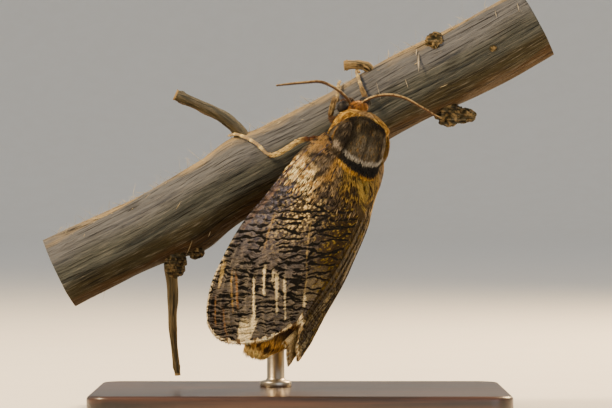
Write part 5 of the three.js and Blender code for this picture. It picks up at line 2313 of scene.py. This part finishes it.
@dataclass
class Leg:
    """One leg from hip to claws, bent at its knees, with its foot wrapped round the branch."""

    name: str
    hip: tuple
    knees: tuple
    foot: tuple
    branch: Branch
    girths: tuple = (0.7, 0.62, 0.42, 0.46, 0.42, 0.27, 0.24, 0.13)
    rows: int = 150
    sides: int = 20
    hairs: int = 1150

    def __post_init__(self) -> None:
        """Finds the leg's line, and how far along it the knee and the foot lie."""
        points = self.route()
        length = np.cumsum(lengths(np.diff(points, axis=0)))
        self.knee, self.tarsus = length[0] / length[-1], length[-5] / length[-1]
        self.line = centripetal(points, shares(self.rows))
        self.along, self.side, self.up = frames_along(self.line)

    def route(self) -> Array:
        """Hip, knees and points of the foot laid on the bark.

        Returns:
            The points in order.
        """
        (x0, angle0), (x1, angle1) = self.foot
        t = shares(5)
        foot = self.branch.on_bark(x0 + (x1 - x0) * t, angle0 + (angle1 - angle0) * t, 0.3 + 0.62 - 0.26 * t)
        return np.vstack([at(*self.hip), np.array(self.knees, float), foot])

    def joint(self, share: Array) -> Array:
        """How far along its own one of the foot's five joints a place lies."""
        return (share - self.tarsus) / (1 - self.tarsus) * 5 % 1.0

    def radius(self, share: Array) -> Array:
        """The skin's radius: from the hip to the foot, with five joints swollen at their ends.

        Args:
            share: Shares of the leg's length.

        Returns:
            Radii.
        """
        knee, tarsus = self.knee, self.tarsus
        stations = (0, knee * 0.7, knee - 0.01, knee + 0.05, tarsus - 0.05, tarsus + 0.01, 0.96, 1)
        swell = np.where(share > tarsus, 0.80 + 0.28 * self.joint(share) ** 0.7, 1.0)
        radius = graded(tuple(zip(stations, self.girths)), share)
        return radius * swell - 0.12 * smooth(tarsus + 0.02, tarsus - 0.04, share)

    def colours(self, share: Array, spot: Array) -> Array:
        """Brown thigh, reddish knee, cream shin and a foot ringed in buff and brown.

        Args:
            share: Shares of the leg's length.
            spot: World places.

        Returns:
            Linear colours.
        """
        mottle = cloud(spot, 0.7, 401, 2)
        foot = smooth(self.tarsus - 0.01, self.tarsus + 0.02, share)
        return painted(
            share, "4a2f1a",
            ("4a1c0c", bell(share, self.knee, 0.04)),
            ("e8cb86", smooth(self.knee + 0.01, self.knee + 0.05, share)),
            ("5a4024", smooth(0.45, 0.3, mottle) * 0.7),
            ("6b4c28", smooth(0.47, 0.36, cloud(spot, 0.32, 405, 2)) * 0.8),
            ("4a331c", smooth(0.36, 0.46, mottle) * (0.85 if "front" in self.name else 0)),
            ("a08c6c", foot),
            ("ead38e", foot * smooth(0.6, 0.8, self.joint(share)) * 0.9),
        )

    def surface(self, p: Array, q: Array) -> Array:
        """Places on the skin, from p along the leg and q round it.

        Args:
            p: Shares of the leg's length.
            q: Shares of the way round.

        Returns:
            World places.
        """
        index = np.clip(p, 0, 1) * (self.rows - 1)
        low = np.minimum(index.astype(int), self.rows - 2)
        mix = (index - low)[..., None]
        centre = self.line[low] * (1 - mix) + self.line[low + 1] * mix
        turn = 2 * math.pi * q[..., None]
        spoke = self.side[low] * np.cos(turn) + self.up[low] * np.sin(turn)
        return centre + spoke * self.radius(np.clip(p, 0, 1))[..., None]

    def build(self, coat: Tufts, horn: list[Shell]) -> None:
        """Makes the leg, and adds its scales to the coat and its claws and spurs to the horn.

        Args:
            coat: The scales of all the legs.
            horn: Their claws and spurs.
        """
        share = shares(self.rows)
        rings = tube_rings(self.line, self.radius(share), self.sides)
        tone = self.colours(share[:, None] + np.zeros(self.sides), rings)
        piece(f"{self.name}_skin", loft(rings, tone), SKIN, "leg_scales", self.name)
        seed = sum(map(ord, self.name))
        roots = scatter(self.surface, self.hairs, seed, lambda p, q: smooth(1.02, 0.6, p) + 0.4, cells=60)
        tone = varied(self.colours(roots.p, roots.place), seed, 0.7, 1.3)
        slim = smooth(self.tarsus + 0.02, self.tarsus - 0.05, roots.p)
        shin = smooth(self.knee, self.knee + 0.06, roots.p) * slim
        length = 0.3 + 0.3 * slim + 0.25 * shin
        coat.grow(roots, roots.along, length, 0.08 + 0.03 * slim, 0.18 + 0.1 * slim, tone, seed=seed + 1)
        self.claws(horn)

    def claws(self, horn: list[Shell]) -> None:
        """Two hooked claws at the tip, and a pair of spurs at the end of the shin.

        Args:
            horn: The claws and spurs of all the legs.
        """
        tip, along = self.line[-1], self.along[-1]
        down = unit(self.branch.station(tip[:1])[0][0] - tip)
        across = unit(np.cross(along, down))
        for turn in (1, -1):
            middle, end = tip + along * 0.22 + across * 0.1 * turn, tip + along * 0.36 + across * 0.14 * turn
            horn.append(spike([tip, middle, end + down * 0.16], 0.07, 0.012))
        if "front" in self.name:
            return
        k = int(self.tarsus * (self.rows - 1)) - 2
        start, along = self.line[k], self.along[k]
        for turn in (1, -1):
            lean = unit(self.side[k] * turn + self.up[k] * 0.4)
            middle, end = start + along * 0.5 + lean * 0.42, start + along * 1.05 + lean * 0.6
            horn.append(spike([start, middle, end], 0.1, 0.02))


@dataclass
class Antenna:
    """A feeler: a ringed shaft, pale scaled on its back, painted palest towards the light and
    dark on its far side as painted shade, with a row of short teeth below.
    """

    name: str
    route: tuple
    radii: tuple = ((0, 0.36), (0.15, 0.36), (0.5, 0.38), (0.85, 0.3), (1, 0.2))
    joints: int = 58
    tooth_radii: tuple = (0.06, 0.045, 0.012)

    def build(self) -> None:
        """The shaft swells at each joint, and a pair of teeth leans out from every joint."""
        share = shares(self.joints * 4 + 1)
        line = centripetal(self.route, share)
        radius = graded(self.radii, share) * 0.68 * (1 + 0.10 * np.cos(share * self.joints * 2 * math.pi))
        rings = tube_rings(line, radius, 14)
        along, _, _ = frames_along(line)
        lit = unit(rings - line[:, None]) @ unit(np.array([-0.2, -0.5, 0.9]))
        share = share[:, None]
        # Painted light: pale where the shaft faces the light, up and towards the front.
        pale = smooth(0.35, 0.75, lit) * (0.55 + 0.45 * smooth(0.35, 0.1, share))
        shells = [loft(rings, painted(
            lit, "4a3018",
            # Painted shade: dark on the side away from the light.
            ("1f100a", smooth(0.2, -0.8, lit)),
            ("cbb27c", pale * smooth(0.25, 0.6, cloud(rings, 0.3, 501, 2))),
            ("b89a5c", smooth(0.16, 0.08, share) * 0.7),
        ))]
        under = unit(np.array([0.3, 0.6, -0.6]))
        for k in range(16, self.joints * 4, 4):
            down = unit(under - along[k] * np.dot(under, along[k]))
            wide = np.cross(along[k], down)
            for turn in (0.7, -0.7):
                out = unit(down + wide * turn)
                base = line[k] + out * radius[k] * 0.8
                middle, end = base + out * 0.07 + along[k] * 0.02, base + out * 0.14 + along[k] * 0.06
                tooth = tube_rings(np.array([base, middle, end]), np.array(self.tooth_radii), 5)
                shells.append(loft(tooth, tint("2c160c")))
        piece(f"{self.name}_shaft", Shell.joined(shells), FEELER, "antenna", self.name)


@dataclass
class Limbs:
    """The six legs and the two feelers."""

    branch: Branch

    def build(self) -> None:
        """Makes each leg and feeler, and the pieces that they share."""
        coat, horn = Tufts("coat_legs", "leg_scales"), []
        for name, route in LEG_ROUTES.items():
            Leg(name, *route, self.branch).build(coat, horn)
        coat.dress()
        piece("claws_and_spurs", Shell.joined(horn), HornFinish("horn"), "leg_scales")
        for name, route in ANTENNA_ROUTES.items():
            Antenna(name, route).build()


# ---- stand


@dataclass
class Stand:
    """The display stand: a flat wooden base and one rod."""

    length: float = 70
    depth: float = 44
    height: float = 4
    corner: float = 4
    bevel: float = 0.7
    rod_x: float = -4.2
    rod_y: float = 5.2
    rod_radius: float = 1.5
    rod_top: float = 37.5

    def outline(self, inset: float, z: float) -> Array:
        """A rounded rectangle: four quarter circles joined by straight edges.

        Args:
            inset: Distance inside it.
            z: Its height.

        Returns:
            Its points.
        """
        radius = max(self.corner - inset, 0.05)
        parts = []
        for k, (sx, sy) in enumerate(((1, 1), (-1, 1), (-1, -1), (1, -1))):
            angle = np.linspace(0, math.pi / 2, 12) + k * math.pi / 2
            cx, cy = sx * (self.length / 2 - self.corner), sy * (self.depth / 2 - self.corner)
            parts.append(vec(cx + radius * np.cos(angle), cy + radius * np.sin(angle), z))
        return np.concatenate(parts)

    def base(self) -> None:
        """The base: the outline carried up a profile with rounded edges."""
        turn = np.linspace(0, math.pi / 2, 7)
        low = [(self.bevel * (1 - math.sin(t)), self.bevel * (1 - math.cos(t))) for t in turn]
        high = [(self.bevel * (1 - math.cos(t)), self.height - self.bevel * (1 - math.sin(t))) for t in turn]
        rings = [self.outline(inset, z) for inset, z in low + high]
        middle = np.array([0, 0, self.height])
        flat = [middle + (rings[-1] - middle) * share for share in (0.97, 0.6, 0.3)]
        shell = loft(np.stack([rings[0] * (0.97, 0.97, 1), *rings, *flat]))
        piece("stand_base_wood", shell, StainedWood("stained wood"), "stand_wood", "stand_base")

    def rod(self) -> None:
        """The rod, turned with a low collar where it meets the base."""
        r = self.rod_radius
        profile = (
            (r + 1.1, 4.0), (r + 1.2, 4.12), (r + 1.2, 4.75), (r + 1.1, 4.95), (r + 0.25, 5.15), (r, 5.45),
            (r, 15), (r, 25), (r, 33), (r, self.rod_top - 0.2), (r - 0.2, self.rod_top),
        )
        shell = loft(rings_round(profile, 56) + (self.rod_x, self.rod_y, 0))
        piece("stand_rod_metal", shell, BrushedMetal("brushed metal"), "stand_metal", "stand_rod")

    def build(self) -> None:
        """Makes the base and the rod."""
        self.base()
        self.rod()


def rings_round(profile: tuple | Array, sides: int) -> Array:
    """Rings round the Z axis, one for each pair of a radius and a height."""
    radius, height = np.array(profile).T[..., None]
    return vec(radius * np.cos(turns(sides)), radius * np.sin(turns(sides)), height)


# ---- studio


@dataclass
class Studio:
    """A pale floor that curves up into a wall all round, soft lights and the camera."""

    eye: tuple = (1.0, -509.8, 35.33)
    focal: float = 3000
    frame_width: float = 612
    floor_radius: float = 2500
    wall_height: float = 1500
    curve: float = 900

    def camera(self) -> None:
        """The camera looks level along +Y."""
        data = bpy.data.cameras.new("camera")
        data.sensor_width = 36
        data.lens = self.focal / self.frame_width * data.sensor_width
        data.clip_start, data.clip_end = 0.02, 20
        eye = placed("camera", data)
        eye.location = np.array(self.eye) * METRES
        eye.rotation_euler = (math.pi / 2, 0, 0)
        bpy.context.scene.camera = eye

    def floor(self) -> None:
        """A disc whose edge turns up in a quarter circle and goes on as a wall."""
        bend, sides = np.linspace(0, math.pi / 2, 14)[1:], 96
        flat, wall = np.linspace(2, self.floor_radius, 12), self.floor_radius + self.curve
        radius = np.array([*flat, *(self.floor_radius + self.curve * np.sin(bend)), wall])
        height = [*np.zeros(12), *(self.curve * (1 - np.cos(bend))), self.curve + self.wall_height]
        rings = rings_round(vec(radius, np.array(height)), sides)
        faces = grid_faces(len(rings), sides, closed=True)[:, ::-1]
        mesh = Shell(rings.reshape(-1, 3), [faces, np.arange(sides)[None]]).mesh("floor")
        mesh.materials.append(PlainFloor("pale floor").material())
        placed("floor", mesh)

    def light(self, name: str, place: tuple, size: float, power: float, colour: str) -> None:
        """A square soft light, aimed at the model.

        Args:
            name: Its name.
            place: Where it hangs.
            size: Its width.
            power: Its watts.
            colour: A hexadecimal code.
        """
        data = bpy.data.lights.new(name, "AREA")
        data.size, data.energy, data.color = size * METRES, power, tuple(tint(colour))
        item = placed(name, data)
        start = np.array(place, float) * METRES
        item.location = start
        way = Vector(np.array((0, 0, 40)) * METRES - start)
        item.rotation_euler = way.to_track_quat("-Z", "Y").to_euler()

    def build(self) -> None:
        """Sets up the camera, floor, lights and sky."""
        self.camera()
        self.floor()
        self.light("key", (-430, -190, 470), 170, 8.0, "ffdfae")
        self.light("rim", (330, 280, 330), 200, 7.0, "ffd9a0")
        self.light("fill", (300, -560, 120), 420, 1.0, "e4ebff")
        sky = bpy.data.worlds.new("sky")
        sky.use_nodes = True
        colour, strength = sky.node_tree.nodes["Background"].inputs[:2]
        colour.default_value, strength.default_value = rgba("eef0f2"), 0.6
        bpy.context.scene.world = sky


# ---- assembly


def main() -> None:
    """Builds the studio and every part of the model in order."""
    logging.basicConfig(level=logging.INFO, format="%(name)s: %(message)s")
    Studio().build()
    Stand().build()
    branch = Branch()
    branch.build()
    Wings().build()
    Body().build()
    Limbs(branch).build()


if __name__ == "__main__":
    main()
